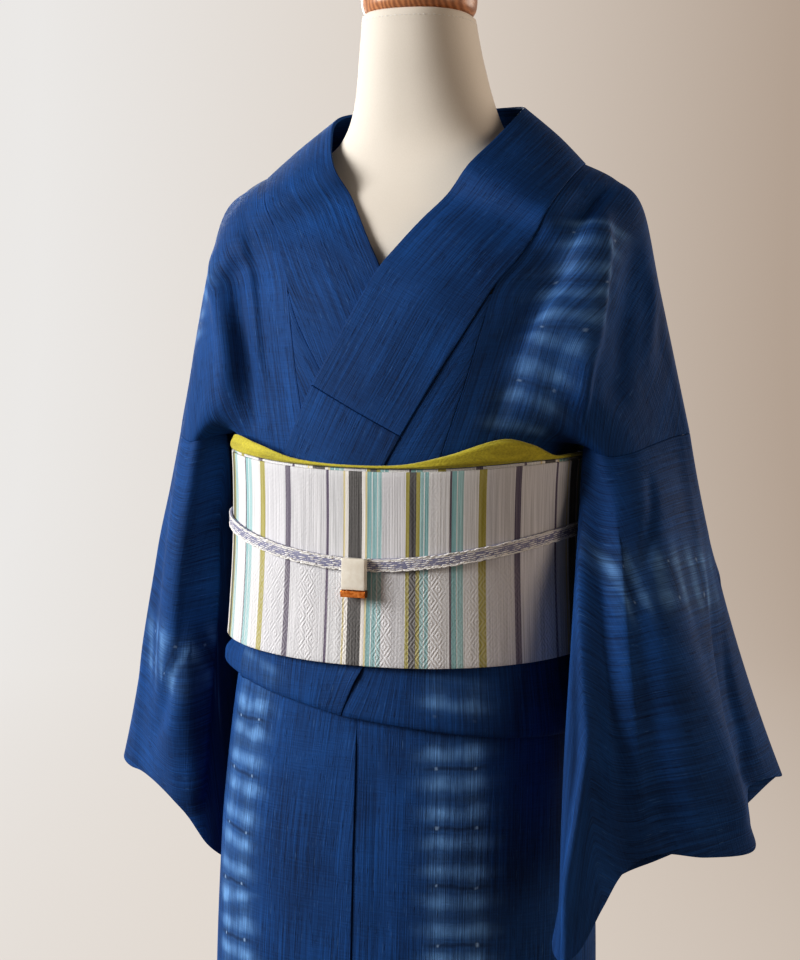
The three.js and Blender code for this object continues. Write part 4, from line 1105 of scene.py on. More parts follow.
@dataclass(frozen=True)
class ObiSilk:
    """Figured silk of an obi: a pale ground with warp stripes of many widths and a raised small pattern.

    The eye sees a dry, slightly shiny ribbed cloth, cool grey, with aqua, cream, yellow-green and charcoal.

    Attributes:
        stripes: widths in mm and colours, repeated along the cloth.
        rib: width of one rib in mm, drawn at twice the real one.
        lozenge: width of a raised lozenge in mm.
        figured_from: how far below the top edge the raised pattern starts, in mm.
    """

    stripes: tuple[tuple[float, str], ...] = (
        (20, "#dddfe7"), (1.8, "#49355f"), (13, "#e2e5ec"), (1.5, "#e2d49a"), (2.6, "#f8f7f5"),
        (11.5, "#262325"),
        (2.6, "#f4f3f2"), (1.5, "#dccf98"), (3.4, "#7fb8bf"), (1.2, "#eef0f3"), (3.4, "#86bcc3"),
        (1.2, "#eef0f3"),
        (2.8, "#98c6cc"), (19, "#dddfe7"), (3.4, "#a39a1f"), (4.8, "#262325"), (3.4, "#a39a1f"),
        (2.4, "#98c6cc"),
        (1.2, "#eef0f3"), (2.8, "#7fb8bf"), (1.4, "#eef0f3"), (15, "#e2e4ea"), (1.5, "#3b2440"),
        (3.4, "#7fb8bf"),
        (1.2, "#eef0f3"), (4.4, "#98c6cc"), (12, "#e4e6eb"), (6, "#a39a1f"), (23, "#d8dae3"),
        (4.6, "#43355a"),
        (14, "#dddfe7"),
    )
    rib: float = 1.0
    lozenge: float = 12.0
    figured_from: float = 70.0

    def build(self) -> bpy.types.Material:
        """Makes the material."""
        make = shader("striped_obi_silk", Roughness=0.55, Specular_IOR_Level=0.4, Sheen_Weight=0.12)
        tree = make.tree
        uv = add(tree, "ShaderNodeUVMap", uv_map="Cloth")
        place = add(tree, "ShaderNodeSeparateXYZ", [uv])
        period = sum(width for width, _ in self.stripes)
        turn = add(tree, "ShaderNodeMath", [place, 1000 / period], operation="MULTIPLY")
        turn = add(tree, "ShaderNodeMath", [turn], operation="FRACT")
        stops, edge = [], 0.0
        for width, tone in self.stripes:
            stops.append((edge / period, tone))
            edge += width
        stripe = add(tree, "ShaderNodeValToRGB", [turn], stops=stops)
        stripe.color_ramp.interpolation = "CONSTANT"
        scaled = add(tree, "ShaderNodeMapping", {0: uv, 3: (1000 / (self.rib * 0.8), 1000 / 90, 1.0)})
        fine = add(tree, "ShaderNodeTexNoise", {"Vector": scaled, "Scale": 1.0, "Detail": 2.0})
        fine_tone = add(tree, "ShaderNodeMapRange", [fine, 0.35, 0.65, 0.0, 1.0])
        light = add(tree, "ShaderNodeMixRGB", [0.12, stripe, (1, 1, 1, 1)])
        dark = add(tree, "ShaderNodeMixRGB", [0.3, stripe, (0, 0, 0, 1)])
        tone = add(tree, "ShaderNodeMixRGB", [fine_tone, dark, light])

        def wave(value: object, size: float) -> bpy.types.Node:
            """Goes 0, 1, 0 over a size in mm."""
            swing = add(tree, "ShaderNodeMath", [value, size / 2 * MM], operation="PINGPONG")
            return add(tree, "ShaderNodeMath", [swing, 2 / size / MM], operation="MULTIPLY")

        slant = add(tree, "ShaderNodeMath",
                    [wave(place, self.lozenge), wave(place.outputs[1], self.lozenge * 1.5)],
                    operation="ADD")
        rings = wave(add(tree, "ShaderNodeMath", [slant, MM], operation="MULTIPLY"), 0.5)
        figured = add(tree, "ShaderNodeMapRange",
                      [place.outputs[1], self.figured_from * MM, (self.figured_from + 12) * MM, 0.15, 1.0])
        zone = add(tree, "ShaderNodeTexNoise",
                   {"Vector": add(tree, "ShaderNodeMapping", {0: uv, 3: (1000 / 26, 0.0, 1.0)}),
                                               "Scale": 1.0, "Detail": 0.0})
        zone = add(tree, "ShaderNodeMapRange", [zone, 0.46, 0.52, 0.25, 1.0])
        raised = add(tree, "ShaderNodeMath", [rings, figured], operation="MULTIPLY")
        raised = add(tree, "ShaderNodeMath", [raised, zone], operation="MULTIPLY")
        ribs = wave(place.outputs[1], self.rib)
        relief = add(tree, "ShaderNodeMath", [ribs, 0.3, raised], operation="MULTIPLY_ADD")
        relief = add(tree, "ShaderNodeMath", [fine_tone, 0.35, relief], operation="MULTIPLY_ADD")
        # The raised lozenges are painted paler: a painted highlight where the relief stands up.
        lit = add(tree, "ShaderNodeMapRange", [raised, 0.0, 1.0, 0.0, 0.3])
        make.paint(add(tree, "ShaderNodeMixRGB", [lit, tone, colour("#e9e9ee")]))
        make.emboss(relief, 0.5, 0.7)
        return make.material


@dataclass(frozen=True)
class SilkCrepe:
    """Crepe of hard-twisted silk in yellow-green: a dull cloth whose surface is all small pebbles.

    Attributes:
        tone: its colour.
        shade: painted shade, its colour in the hollows between pebbles and creases.
        pebble: size of a pebble in mm.
    """

    tone: str = "#c9bf2f"
    shade: str = "#938a18"
    pebble: float = 1.3

    def build(self) -> bpy.types.Material:
        """Makes the material."""
        make = shader("chartreuse_silk_crepe", Roughness=0.7, Specular_IOR_Level=0.3, Sheen_Weight=0.25)
        tree = make.tree
        uv = add(tree, "ShaderNodeUVMap", uv_map="Cloth")
        scaled = add(tree, "ShaderNodeMapping", {0: uv, 3: (1000 / self.pebble, 700 / self.pebble, 1.0)})
        pebbles = add(tree, "ShaderNodeTexVoronoi", {"Vector": scaled, "Scale": 1.0})
        creases = add(tree, "ShaderNodeTexNoise",
                      {"Vector": add(tree, "ShaderNodeMapping", {0: uv, 3: (1000 / 7, 1000 / 45, 1.0)}),
                       "Scale": 1.0,
                       "Detail": 3.0})
        height = add(tree, "ShaderNodeMath", [pebbles, 0.5], operation="MULTIPLY")
        height = add(tree, "ShaderNodeMath", [creases, 1.2, height], operation="MULTIPLY_ADD")
        # The low places of the relief are painted darker: painted shade in the hollows.
        mixed = add(tree, "ShaderNodeMapRange", [height, 0.4, 1.3, 0.0, 1.0])
        make.paint(add(tree, "ShaderNodeMixRGB", [mixed, colour(self.shade), colour(self.tone)]))
        make.emboss(height, 0.8, 0.7)
        return make.material


@dataclass(frozen=True)
class BraidedSilk:
    """Silk braided into a flat cord, dull with a soft gleam on each strand.

    Attributes:
        name: the material's name.
        tone: the strands' colour.
        shade: the colour between filaments, painted there as painted shade.
    """

    name: str
    tone: str
    shade: str

    def build(self) -> bpy.types.Material:
        """Makes the material."""
        make = shader(self.name, Roughness=0.5, Specular_IOR_Level=0.45, Sheen_Weight=0.2)
        tree = make.tree
        place = add(tree, "ShaderNodeTexCoord")
        scaled = add(tree, "ShaderNodeMapping", {0: place.outputs["Object"], 3: (1400.0, 1400.0, 2600.0)})
        filaments = add(tree, "ShaderNodeTexNoise", {"Vector": scaled, "Scale": 1.0, "Detail": 2.0})
        # Noise at the filaments' scale paints shade between them.
        make.paint(add(tree, "ShaderNodeMixRGB", [filaments, colour(self.shade), colour(self.tone)]))
        make.emboss(filaments, 0.08, 0.5)
        return make.material


@dataclass(frozen=True)
class CottonJersey:
    """Off-white cotton stretched over the form: matt, with fine knit ribs and faint uneven shade.

    Attributes:
        tone: its colour.
        shade: the colour between the ribs, painted there as painted shade, and of the broad uneven patches.
        rib: width of a rib in mm, drawn at twice the real one.
    """

    tone: str = "#e5e0d8"
    shade: str = "#dad4ca"
    rib: float = 1.0

    def build(self) -> bpy.types.Material:
        """Makes the material."""
        make = shader("off_white_cotton_jersey", Roughness=0.85, Specular_IOR_Level=0.25, Sheen_Weight=0.15)
        tree = make.tree
        place = add(tree, "ShaderNodeTexCoord")
        scaled = add(tree, "ShaderNodeMapping", {0: place.outputs["Object"],
                                                 3: (1000 / self.rib, 1000 / self.rib,
                                                     1000 / self.rib / 1.4)})
        knit = add(tree, "ShaderNodeTexNoise", {"Vector": scaled, "Scale": 1.0, "Detail": 1.0})
        broad = add(tree, "ShaderNodeTexNoise",
                    {"Vector": place.outputs["Object"], "Scale": 14.0, "Detail": 2.0})
        # The knit noise paints shade between the ribs; the broad noise gives an uneven tone.
        mixed = add(tree, "ShaderNodeMath", [knit, 0.5], operation="MULTIPLY")
        mixed = add(tree, "ShaderNodeMath", [broad, 0.6, mixed], operation="MULTIPLY_ADD")
        make.paint(add(tree, "ShaderNodeMixRGB", [mixed, colour(self.shade), colour(self.tone)]))
        make.emboss(knit, 0.15, 0.35)
        return make.material


@dataclass(frozen=True)
class TurnedBeech:
    """Beech turned on a lathe, stained and varnished: warm brown with fine rings and short dark flecks.

    Attributes:
        tone: the early wood.
        shade: the late wood.
        ring: width of a year ring in mm.
    """

    tone: str = "#c08050"
    shade: str = "#8e5429"
    ring: float = 3.5

    def build(self) -> bpy.types.Material:
        """Makes the material."""
        make = shader("varnished_beech", Roughness=0.38, Specular_IOR_Level=0.5, Coat_Weight=0.35,
                      Coat_Roughness=0.25)
        tree = make.tree
        place = add(tree, "ShaderNodeTexCoord")
        scaled = add(tree, "ShaderNodeMapping", {0: place.outputs["Object"], 3: (260.0, 60.0, 260.0)})
        rings = add(tree, "ShaderNodeTexWave",
                    {"Vector": scaled, "Scale": 1.0 / self.ring, "Distortion": 5.0, "Detail": 3.0,
                     "Detail Scale": 1.2})
        flecks = add(tree, "ShaderNodeTexNoise",
                     {"Vector": add(tree, "ShaderNodeMapping",
                                    {0: place.outputs["Object"], 3: (1400.0, 160.0, 1400.0)}),
                      "Scale": 1.0, "Detail": 2.0})
        fleck = add(tree, "ShaderNodeMapRange", [flecks, 0.62, 0.75, 0.0, 0.5])
        tone = add(tree, "ShaderNodeMixRGB", [rings, colour(self.shade), colour(self.tone)])
        make.paint(add(tree, "ShaderNodeMixRGB", [fleck, tone, colour("#5d3415")]))
        make.emboss(flecks, 0.05, 0.3)
        return make.material


@dataclass(frozen=True)
class Plain:
    """A smooth finish whose shade varies a little over its surface.

    Attributes:
        name: the material's name, after what it is.
        tone: its colour.
        shade: the colour of its darker places.
        roughness: of the surface.
        metallic: 1 for a bare metal.
        coat: of clear glaze or lacquer.
        mark: size of the marks in mm.
        depth: of the marks in mm.
    """

    name: str
    tone: str
    shade: str
    roughness: float
    metallic: float = 0.0
    coat: float = 0.0
    mark: float = 6.0
    depth: float = 0.02

    def build(self) -> bpy.types.Material:
        """Makes the material."""
        make = shader(self.name, Roughness=self.roughness, Metallic=self.metallic, Coat_Weight=self.coat,
                      Coat_Roughness=0.12)
        tree = make.tree
        place = add(tree, "ShaderNodeTexCoord")
        marks = add(tree, "ShaderNodeTexNoise",
                    {"Vector": place.outputs["Object"], "Scale": 1000 / self.mark, "Detail": 4.0,
                     "Roughness": 0.6})
        mixed = add(tree, "ShaderNodeMapRange", [marks, 0.35, 0.65, 0.0, 1.0])
        make.paint(add(tree, "ShaderNodeMixRGB", [mixed, colour(self.shade), colour(self.tone)]))
        make.emboss(marks, self.depth, 0.5)
        return make.material


@dataclass(frozen=True)
class Finishes:
    """Every material, made once."""

    tsumugi: bpy.types.Material = field(default_factory=lambda: TsumugiSilk().build())
    obi: bpy.types.Material = field(default_factory=lambda: ObiSilk().build())
    crepe: bpy.types.Material = field(default_factory=lambda: SilkCrepe().build())
    # Cream strands at both edges of the braid, and lavender grey ones between them.
    cream: bpy.types.Material = field(
        default_factory=lambda: BraidedSilk("cream_braid_strands", "#ead9bd", "#c9b594").build())
    lavender: bpy.types.Material = field(
        default_factory=lambda: BraidedSilk("lavender_braid_strands", "#8b8dab", "#666988").build())
    pale_braid: bpy.types.Material = field(
        default_factory=lambda: BraidedSilk("pale_grey_braid_strands", "#d6d6de", "#b4b4c2").build())
    jersey: bpy.types.Material = field(default_factory=lambda: CottonJersey().build())
    beech: bpy.types.Material = field(default_factory=lambda: TurnedBeech().build())
    # Stoneware under a clear glaze: a milky block with soft highlights at its rounded edges.
    glaze: bpy.types.Material = field(
        default_factory=lambda: Plain("glazed_stoneware", "#ece8de", "#ddd6c8", 0.32, coat=0.5,
                                      mark=9.0).build())
    # Polished copper, warm orange, slightly brushed.
    copper: bpy.types.Material = field(
        default_factory=lambda: Plain("polished_copper", "#d98a4a", "#a9581f", 0.25, metallic=1.0,
                                      mark=2.0).build())
    # Enamel sprayed on steel: off-white, faintly uneven like orange peel.
    enamel: bpy.types.Material = field(
        default_factory=lambda: Plain("sprayed_enamel", "#dedbd3", "#cfcbc1", 0.35, coat=0.2, mark=2.5,
                                      depth=0.04).build())


# The dress form


@dataclass
class DressForm:
    """A limbless form with a turned wooden cap, on a pole and a round base.

    Attributes:
        skin: how far the cover lies inside the first layer.
        fuller: how much fuller it is above the waist.
        waist: where it grows fuller.
        bottom: height of its lower edge.
        top: height of its neck.
        cap_top: height of the cap.
        pole: radius of the pole.
        base: radius of the base.
        base_height: of the base's middle.
    """

    skin: float = 0.4
    fuller: float = 0.9
    waist: float = 940.0
    bottom: float = 790.0
    top: float = 1418.0
    cap_top: float = 1450.0
    pole: float = 14.0
    base: float = 150.0
    base_height: float = 22.0

    def build(self, finishes: Finishes) -> None:
        """Builds the form and its stand."""
        self._torso(finishes)
        cap = rounded(((0.5, self.top + SEAM), (44, self.top + SEAM), (47, self.top + 5), (48, self.top + 14),
                       (46, self.top + 23), (36, self.cap_top - 3), (18, self.cap_top), (0.5, self.cap_top)),
                      6)
        wear(turned("neck_cap", cap, finishes.beech, (0.0, 8.0)), Slot.WOOD, "form_neck_cap")
        low, high = self.base_height + SEAM, self.bottom - SEAM
        ring = self.pole + 6
        pole = rounded(((0.5, low), (self.pole, low), (self.pole, high - 60), (ring - 5, high - 58),
                        (ring - 5, high - 30),
                        (self.pole, high - 28), (self.pole, high), (0.5, high)), 1.5)
        pole = [(min(r, self.pole), z) for r, z in pole]
        wear(turned("pole", pole, finishes.enamel), Slot.STAND, "stand_pole")
        base = rounded(((0.5, 0), (self.base - 3, 0), (self.base, 3), (self.base, 10), (self.base - 8, 15),
                        (40, self.base_height - 2), (28, self.base_height), (0.5, self.base_height)), 3)
        wear(turned("base", base, finishes.enamel), Slot.STAND, "stand_base")

    def _torso(self, finishes: Finishes) -> None:
        """The padded body, with stitched seams down the middle of its back and round its neck."""
        degrees = np.linspace(0, 360, 120, endpoint=False)
        heights = np.concatenate([[self.bottom, self.bottom + 2, self.bottom + 6],
                                  np.arange(800, self.top - 2, 6.0),
                                  [self.top - 2, self.top - 0.6, self.top]])
        tuck = np.interp(heights, (self.bottom, self.bottom + 2, self.bottom + 10, self.top - 2, self.top),
                         (12, 6, 0, 0, 2.0))
        grow = self.fuller * smooth((heights - self.waist) / 12) - self.skin
        rings = BODY.on_ring(degrees[None, :], heights[:, None], (grow - tuck)[:, None])
        wear(loft("form_cover", rings, finishes.jersey), Slot.FORM, "form_torso")
        stitch = RepeatAlong(spacing=4.0, length=2.6, width=0.5, height=0.4, lift=0.1)
        z = np.arange(1300.0, self.top - 4, 4)
        seam = BODY.on_ring(180.0, z, self.fuller - self.skin)
        out = np.tile((0.0, 1.0, 0.25), (len(z), 1))
        neck_degrees = np.linspace(0, 360, 90)
        rim = BODY.on_ring(neck_degrees, self.top - 6, self.fuller - self.skin)
        rim_out = rim - (0, 8, self.top - 6)
        rim_out = rim_out / np.linalg.norm(rim_out, axis=1, keepdims=True)
        meshes = [stitch.build("back_stitches", seam, out, finishes.jersey),
                  stitch.build("neck_stitches", rim, rim_out, finishes.jersey)]
        wear(join("form_stitches", meshes), Slot.FORM)


# The skirt and the tuck


@dataclass(frozen=True)
class SkirtPanel:
    """One stretch of the wrapped skirt.

    Attributes:
        node: the solid that it stands for.
        start: degrees from the front where it starts.
        end: where it ends.
        layer: distance of its inner face outside the body, by the angle.
        bands: its tie-dyed bands.
        seam_lift: how far the seam at its end is raised, in mm.
        creases: its folds.
    """

    node: str
    start: float
    end: float
    layer: Callable[[Array], Array]
    bands: tuple[Band, ...] = ()
    seam_lift: float = 0.0
    creases: tuple[Crease, ...] = ()


FRONT_SEAM = -0.5


def winding(degrees: Array) -> Array:
    """The wrap winds outwards from the wearer's right, round the back, to the overlap in front."""
    turned_by = np.clip((276 - np.where(degrees < 0, degrees + 360, degrees)) / 190, 0, 1)
    turned_by = np.where(degrees < 84, 1.0, turned_by)
    return Layer.SKIRT_INNER.value + (Layer.SKIRT_OUTER.value - Layer.SKIRT_INNER.value) * turned_by


@dataclass
class Skirt:
    """The skirt's six stretches of cloth, with the band that the photograph shows on each front.

    Attributes:
        hem: height of its lower edge.
        top: height of its upper edge, under the obi.
        spacing: mm between the grid's lines.
        sway: how far the cloth hangs in and out near the hem.
    """

    hem: float = 45.0
    top: float = 940.0
    spacing: float = 4.5
    sway: float = 1.1

    def panels(self) -> tuple[SkirtPanel, ...]:
        """The panels, from the overlap in front round the body."""
        def outer(degrees: Array) -> Array:
            """The layer of the stretches on the outside."""
            return np.full(degrees.shape, Layer.SKIRT_OUTER.value)

        def inner(degrees: Array) -> Array:
            """The layer of the stretches against the body."""
            return np.full(degrees.shape, Layer.SKIRT_INNER.value)
        back_band = Band(((110.0, 60.0), (110.0, 880.0)), 0.85, where=Where.FLAT)
        puckers = tuple(Crease(((x, 742.0), (x + 3, 775.0)), 0.5, 4, 4, (0.05, 0.7)) for x in (418, 441, 463,
                                                                                               486))
        puckers += (Crease(((376.0, 745.0), (380.0, 850.0), (384.0, 950.0)), -1.1, 6, 7, (0.15, 0.05)),)
        return (
            SkirtPanel("skirt_okumi_left", -66, FRONT_SEAM, outer,
                       (Band(((256.0, 672.0), (240.0, 790.0), (233.0, 880.0), (236.0, 955.0), (238.0, 1250.0),
                              (240.0, 1600.0)), 1.0, 8.0),), 1.3),
            SkirtPanel("skirt_front_left", FRONT_SEAM, 84, outer,
                       (Band(((453.0, 738.0), (455.0, 850.0), (459.0, 955.0), (462.0, 1250.0),
                              (464.0, 1600.0)),
                             1.0, 16.0),), 0.0, puckers),
            SkirtPanel("skirt_back_left", 84, 180, winding, (back_band,)),
            SkirtPanel("skirt_back_right", 180, 276, winding, (back_band,)),
            SkirtPanel("skirt_front_right", 276, 360 + FRONT_SEAM, inner),
            SkirtPanel("skirt_okumi_right", FRONT_SEAM, 50.2, inner),
        )

    def build(self, finishes: Finishes) -> None:
        """Builds each panel."""
        for panel in self.panels():
            count = int(abs(panel.end - panel.start) * 2.7 / self.spacing)
            degrees = np.linspace(panel.start + GAP_DEGREES, panel.end - GAP_DEGREES, count)
            heights = np.linspace(self.hem, self.top, 130)
            angle, z = np.meshgrid(degrees, heights)
            wave = np.sin(np.radians(angle * 6) + 0.8) + 0.5 * np.sin(np.radians(angle * 11) + 2.0)
            off = panel.layer(angle) + CLOTH / 2 + self.sway * smooth((760 - z) / 600) * (wave + 1.2)
            near_seam = (panel.end - angle) * 2.7
            off = off + panel.seam_lift * np.exp(-near_seam / 7) * smooth((850 - z) / 20)
            cloth = Cloth(BODY.on_ring(angle, z, off), bands=panel.bands)
            if panel.creases:
                cloth.fold(panel.creases, smooth((855 - cloth.grid[..., 2]) / 12))
            wear_sheet(cloth, panel.node, finishes.tsumugi, Slot.TSUMUGI)


@dataclass
class Tuck:
    """The fold of spare length under the obi, in the three stretches that show.

    Attributes:
        top: height that it reaches up to, under the obi.
        slant: degrees by which the seam in front leans at the lower edge.
        straight: height above the lower edge at which that seam doesn't lean, in mm.
        flare: how far it stands out at the wearer's right, where it bulges over the skirt.
        flare_at: degrees from the front of that bulge.
        path: how far up each station of its section lies, in 76ths, and where between inner and outer face.
    """

    top: float = 938.0
    slant: float = 3.2
    straight: float = 28.0
    flare: float = 8.0
    flare_at: float = 283.0
    path: tuple[Pair, ...] = ((76, 1), (45, 1.3), (20, 1.5), (6, 1.3), (1.4, 0.8), (0, 0), (1.4, -0.8),
                              (6, -1), (30, -1),
                              (66, -1))

    def edge(self, degrees: Array) -> Array:
        """The height of its lower edge."""
        x = BODY.on_ring(degrees, 870.0, 8.0)[..., 0]
        return np.where(np.cos(np.radians(degrees)) > 0, 859 - 0.123 * x + 0.0002 * x * x, 860 - 0.12 * x)

    def layer(self, degrees: Array) -> Array:
        """The middle of its outer sheet outside the body."""
        away = np.clip((np.abs(np.where(degrees > 180, degrees - 360, degrees)) - 60) / 120, 0, 1)
        under = np.where(degrees > 276, 1.3 * np.clip((degrees - 276) / 18, 0, 1), 0)
        return Layer.LEFT.value + CLOTH / 2 - 1.5 * smooth(away) - under

    def build(self, finishes: Finishes) -> None:
        """Builds the three stretches."""
        first = -66 + 2 * (66 + FRONT_SEAM) / 7
        band_front = Band(((455.0, 672.0), (452.0, 722.0)), 0.8, 8.0)
        band_side = Band(((262.0, 655.0), (256.0, 682.0)), 0.7, 4.0)
        stretches = (
            ("tuck_okumi_left", first, FRONT_SEAM, (band_side,), "skirt_okumi_left_cloth", 2.2),
            ("tuck_panel_left", FRONT_SEAM, 180.0, (band_front,), "skirt_front_left_cloth", 0.0),
            ("tuck_panel_right", 180.0, 360 + first, (), "skirt_back_right_cloth", 0.0),
        )
        for node, start, end, bands, below, lift in stretches:
            count = int((end - start) * 2.7 / 3.6)
            degrees = np.linspace(start + GAP_DEGREES, end - GAP_DEGREES, count)
            stations = spline(np.array(self.path), np.linspace(0, len(self.path) - 1, 55))
            angle, up = np.meshgrid(degrees, stations[:, 0])
            place = np.broadcast_to(stations[:, 1:2], angle.shape)
            low = self.edge(angle)
            z = low + up * (self.top - low) / 76
            lean = (z - low - self.straight) / self.straight * self.slant
            angle = angle + lean * np.exp(-(((angle - FRONT_SEAM) / 11) ** 2)) * smooth((922 - z) / 20)
            outer, inner = self.layer(angle), Layer.SKIRT_OUTER.value + CLOTH + 1.3
            off = (outer + inner) / 2 + place * (outer - inner) / 2
            free = smooth((904 - z) / 14)
            edges = np.exp((start - angle) * 2.7 / 5) + np.exp((angle - end) * 2.7 / 7)
            flare = self.flare * np.exp(-(((angle - self.flare_at) / 17) ** 2))
            off = off + free * (lift * edges + flare)
            cloth = Cloth(BODY.on_ring(angle, z, off))
            cloth.flat[..., 0] = cloth.flat[..., 0].mean(axis=0)
            cloth.bands = bands
            wear_sheet(cloth, node, finishes.tsumugi, Slot.TSUMUGI)


# The bodice


@dataclass
class Edges:
    """The edges of one front, row by row.

    Attributes:
        table: the rows of the collar's inner and outer edge and of the panel's seam.
        layer: distance of its inner face outside the body.
    """

    table: tuple[tuple[tuple[float, ...], ...], ...]
    layer: float

    def __post_init__(self) -> None:
        """Places each edge in space."""
        off = self.layer + COLLAR / 2
        self.inner = np.array([BODY.place(row[0], off) for row in self.table])
        self.outer = np.array([BODY.place(row[1], off) for row in self.table])
        self.rim = np.array([BODY.place(row[1], self.layer + CLOTH / 2) for row in self.table])
        self.seam = np.array([BODY.place(row[2], self.layer + CLOTH / 2) for row in self.table])
        middle = (self.inner + self.outer) / 2
        for i, row in enumerate(self.table):
            if len(row[0]) == 2 and len(row[1]) == 2:
                middle[i] = BODY.on_chest(middle[i, 0], middle[i, 2], off)
            else:
                flat = middle[i] * (1, 1, 0)
                middle[i] += 3 * flat / max(1e-6, np.linalg.norm(flat))
        self.middle = middle

    def collar(self, first: int, last: int | None = None) -> Array:
        """The collar's control rows of inner edge, middle and outer edge."""
        return np.stack([self.inner[first:last], self.middle[first:last], self.outer[first:last]], axis=1)


@dataclass
class Side:
    """One half of the bodice: its panel, sleeve, overlap strip and collar end.

    Attributes:
        name: left or right.
        side: 1 for the wearer's left, at +X, and -1 for the right.
        edges: the edges of its front.
        lines: the lines of its sleeve.
        panel_creases: folds of the panel.
        sleeve_creases: folds of the sleeve.
        panel_bands: bands of the panel.
        sleeve_bands: bands of the sleeve.
        row_steps: parts of the mesh between two rows of the panel's table.
        column_steps: parts of the mesh between two columns of it.
        sleeve_rows: rings of the sleeve's mesh, from the armhole to the wrist.
        sleeve_columns: points of each ring.
    """

    name: str
    side: int
    edges: Edges
    lines: tuple[SleeveLine, ...]
    panel_creases: tuple[Crease, ...]
    sleeve_creases: tuple[Crease, ...]
    panel_bands: tuple[Band, ...]
    sleeve_bands: tuple[Band, ...]
    row_steps: int = 12
    column_steps: int = 22
    sleeve_rows: int = 90
    sleeve_columns: int = 270

    def panel_net(self) -> Array:
        """The control points of the panel: one row a station, front to back."""
        net = []
        for i, row in enumerate(PANEL):
            behind = i >= BACK_ROW
            back = float(smooth((i - SHOULDER_ROW) / 5))
            off = self.edges.layer + (Layer.BACK.value - self.edges.layer) * back + CLOTH / 2
            points = [BODY.place((self.side * p[0], *p[1:]), off, behind) for p in row]
            neck = self.edges.seam[i] if i <= BACK_ROW else BODY.place(BACK_SEAM[i - BACK_ROW - 1], off, True)
            net.append([neck, *points])
        return np.array(net)

    def panel_at(self, rows: Array, columns: Array) -> Array:
        """Points of the panel at places counted in rows and columns of its net."""
        net = spline(self.panel_net(), rows)
        grid = np.moveaxis(spline(np.moveaxis(net, 1, 0), columns), 0, 1)
        behind = rows >= BACK_ROW - 1
        x = grid[..., 0]
        kept = self.side * np.maximum(self.side * x, SEWN / 2)
        grid[..., 0] = np.where(behind[:, None], kept, x)
        grid[rows >= BACK_ROW, 0, 0] = self.side * SEWN / 2
        return grid

    def panel(self) -> Cloth:
        """The body panel, from the waist in front over the shoulder to the waist behind."""
        rows = np.linspace(0, len(PANEL) - 1, (len(PANEL) - 1) * self.row_steps + 1)
        columns = np.linspace(0, 4, 4 * self.column_steps + 1)
        grid = self.panel_at(rows, columns)
        step = grid[:, 1] - grid[:, 0]
        length = np.linalg.norm(step, axis=-1, keepdims=True)
        front = (rows < BACK_ROW)[:, None]
        grid[:, 0] += np.where(front, step / length * SEWN, 0)
        cloth = Cloth(grid, bands=self.panel_bands)
        flat = cloth.points_flat()[..., 0]
        free = smooth((cloth.grid[..., 2] - 1064) /
                      26) * smooth(flat / 14) * smooth((flat.max(axis=1)[:, None] - flat) / 16)
        cloth.fold(self.panel_creases, free)
        return cloth

    def sleeve(self) -> Cloth:
        """The sleeve, as rings from the armhole to the wrist."""
        at = np.linspace(0, ARM_LINES, self.sleeve_columns, endpoint=False)
        wrist = spline(np.array([line.wrist for line in self.lines], float), at, closed=True)
        bow = spline(np.array([line.bow for line in self.lines], float), at, closed=True)

        def edge(row: Array | int) -> Array:
            """The panel's arm edge at its rows."""
            return self.panel_at(np.atleast_1d(np.asarray(row, float)), np.array([4.0]))[:, 0]
        starts = np.array([edge(line.start)[0] if isinstance(line.start, int) else line.start
                           for line in self.lines])
        start = spline(starts, at, closed=True)
        first, last = OPEN_LINES
        front, behind = at <= first, at >= last
        start[front] = edge(SHOULDER_ROW - at[front])
        start[behind] = edge(BACK_LINE_ROW - (at[behind] - last))
        t = np.linspace(0, 1, self.sleeve_rows)[:, None, None]
        way = wrist - start
        pull = SEWN * smooth(1 - t * 12) * way / np.linalg.norm(way, axis=-1, keepdims=True)
        grid = start + way * t + bow * 4 * t * (1 - t) + pull
        cloth = Cloth(grid, closed=True, warp_rows=False, tube=True, bands=self.sleeve_bands)
        down = cloth.points_flat()[..., 0]
        cloth.fold(self.sleeve_creases, smooth(down / 30))
        return cloth

    def overlap(self) -> Cloth:
        """The narrow strip between the collar and the panel, which runs out in a point."""
        tip = OVERLAP_ROW
        ends = [np.concatenate([e[:tip], [e[tip - 1] + (e[tip] - e[tip - 1]) * 0.8]])
                for e in (self.edges.rim, self.edges.seam)]
        rows = np.linspace(0, tip, tip * 8 + 1)
        rim, seam = (spline(e, rows) for e in ends)
        way = seam - rim
        length = np.linalg.norm(way, axis=-1, keepdims=True)
        lead, tail = SEAM / length, SEWN / length
        columns = np.linspace(0, 1, 15)
        grid = []
        for u in columns:
            t = lead + u * (1 - lead - tail)
            grid.append(rim + way * t + np.array((0, -1.0, 0)) * 0.6 * 4 * t * (1 - t))
        return Cloth(np.stack(grid, axis=1))

    def collar_end(self) -> Cloth:
        """The collar below its over-collar, down to the waist under the obi."""
        net = self.edges.collar(0, COLLAR_END_ROW + 1)
        step = net[-2] - net[-1]
        net[-1] += step / np.linalg.norm(step, axis=-1, keepdims=True) * SEWN
        return collar_cloth(net)

    def build(self, finishes: Finishes) -> None:
        """Builds the four pieces."""
        pieces = (("body_panel_" + self.name, self.panel(), "draped"),
                  ("sleeve_" + self.name, self.sleeve(), "hung"),
                  (f"okumi_{self.name}_upper", self.overlap(), "draped"),
                  ("collar_end_" + self.name, self.collar_end(), "folded"))
        for node, cloth, held in pieces:
            wear_sheet(cloth, node, finishes.tsumugi, Slot.TSUMUGI)


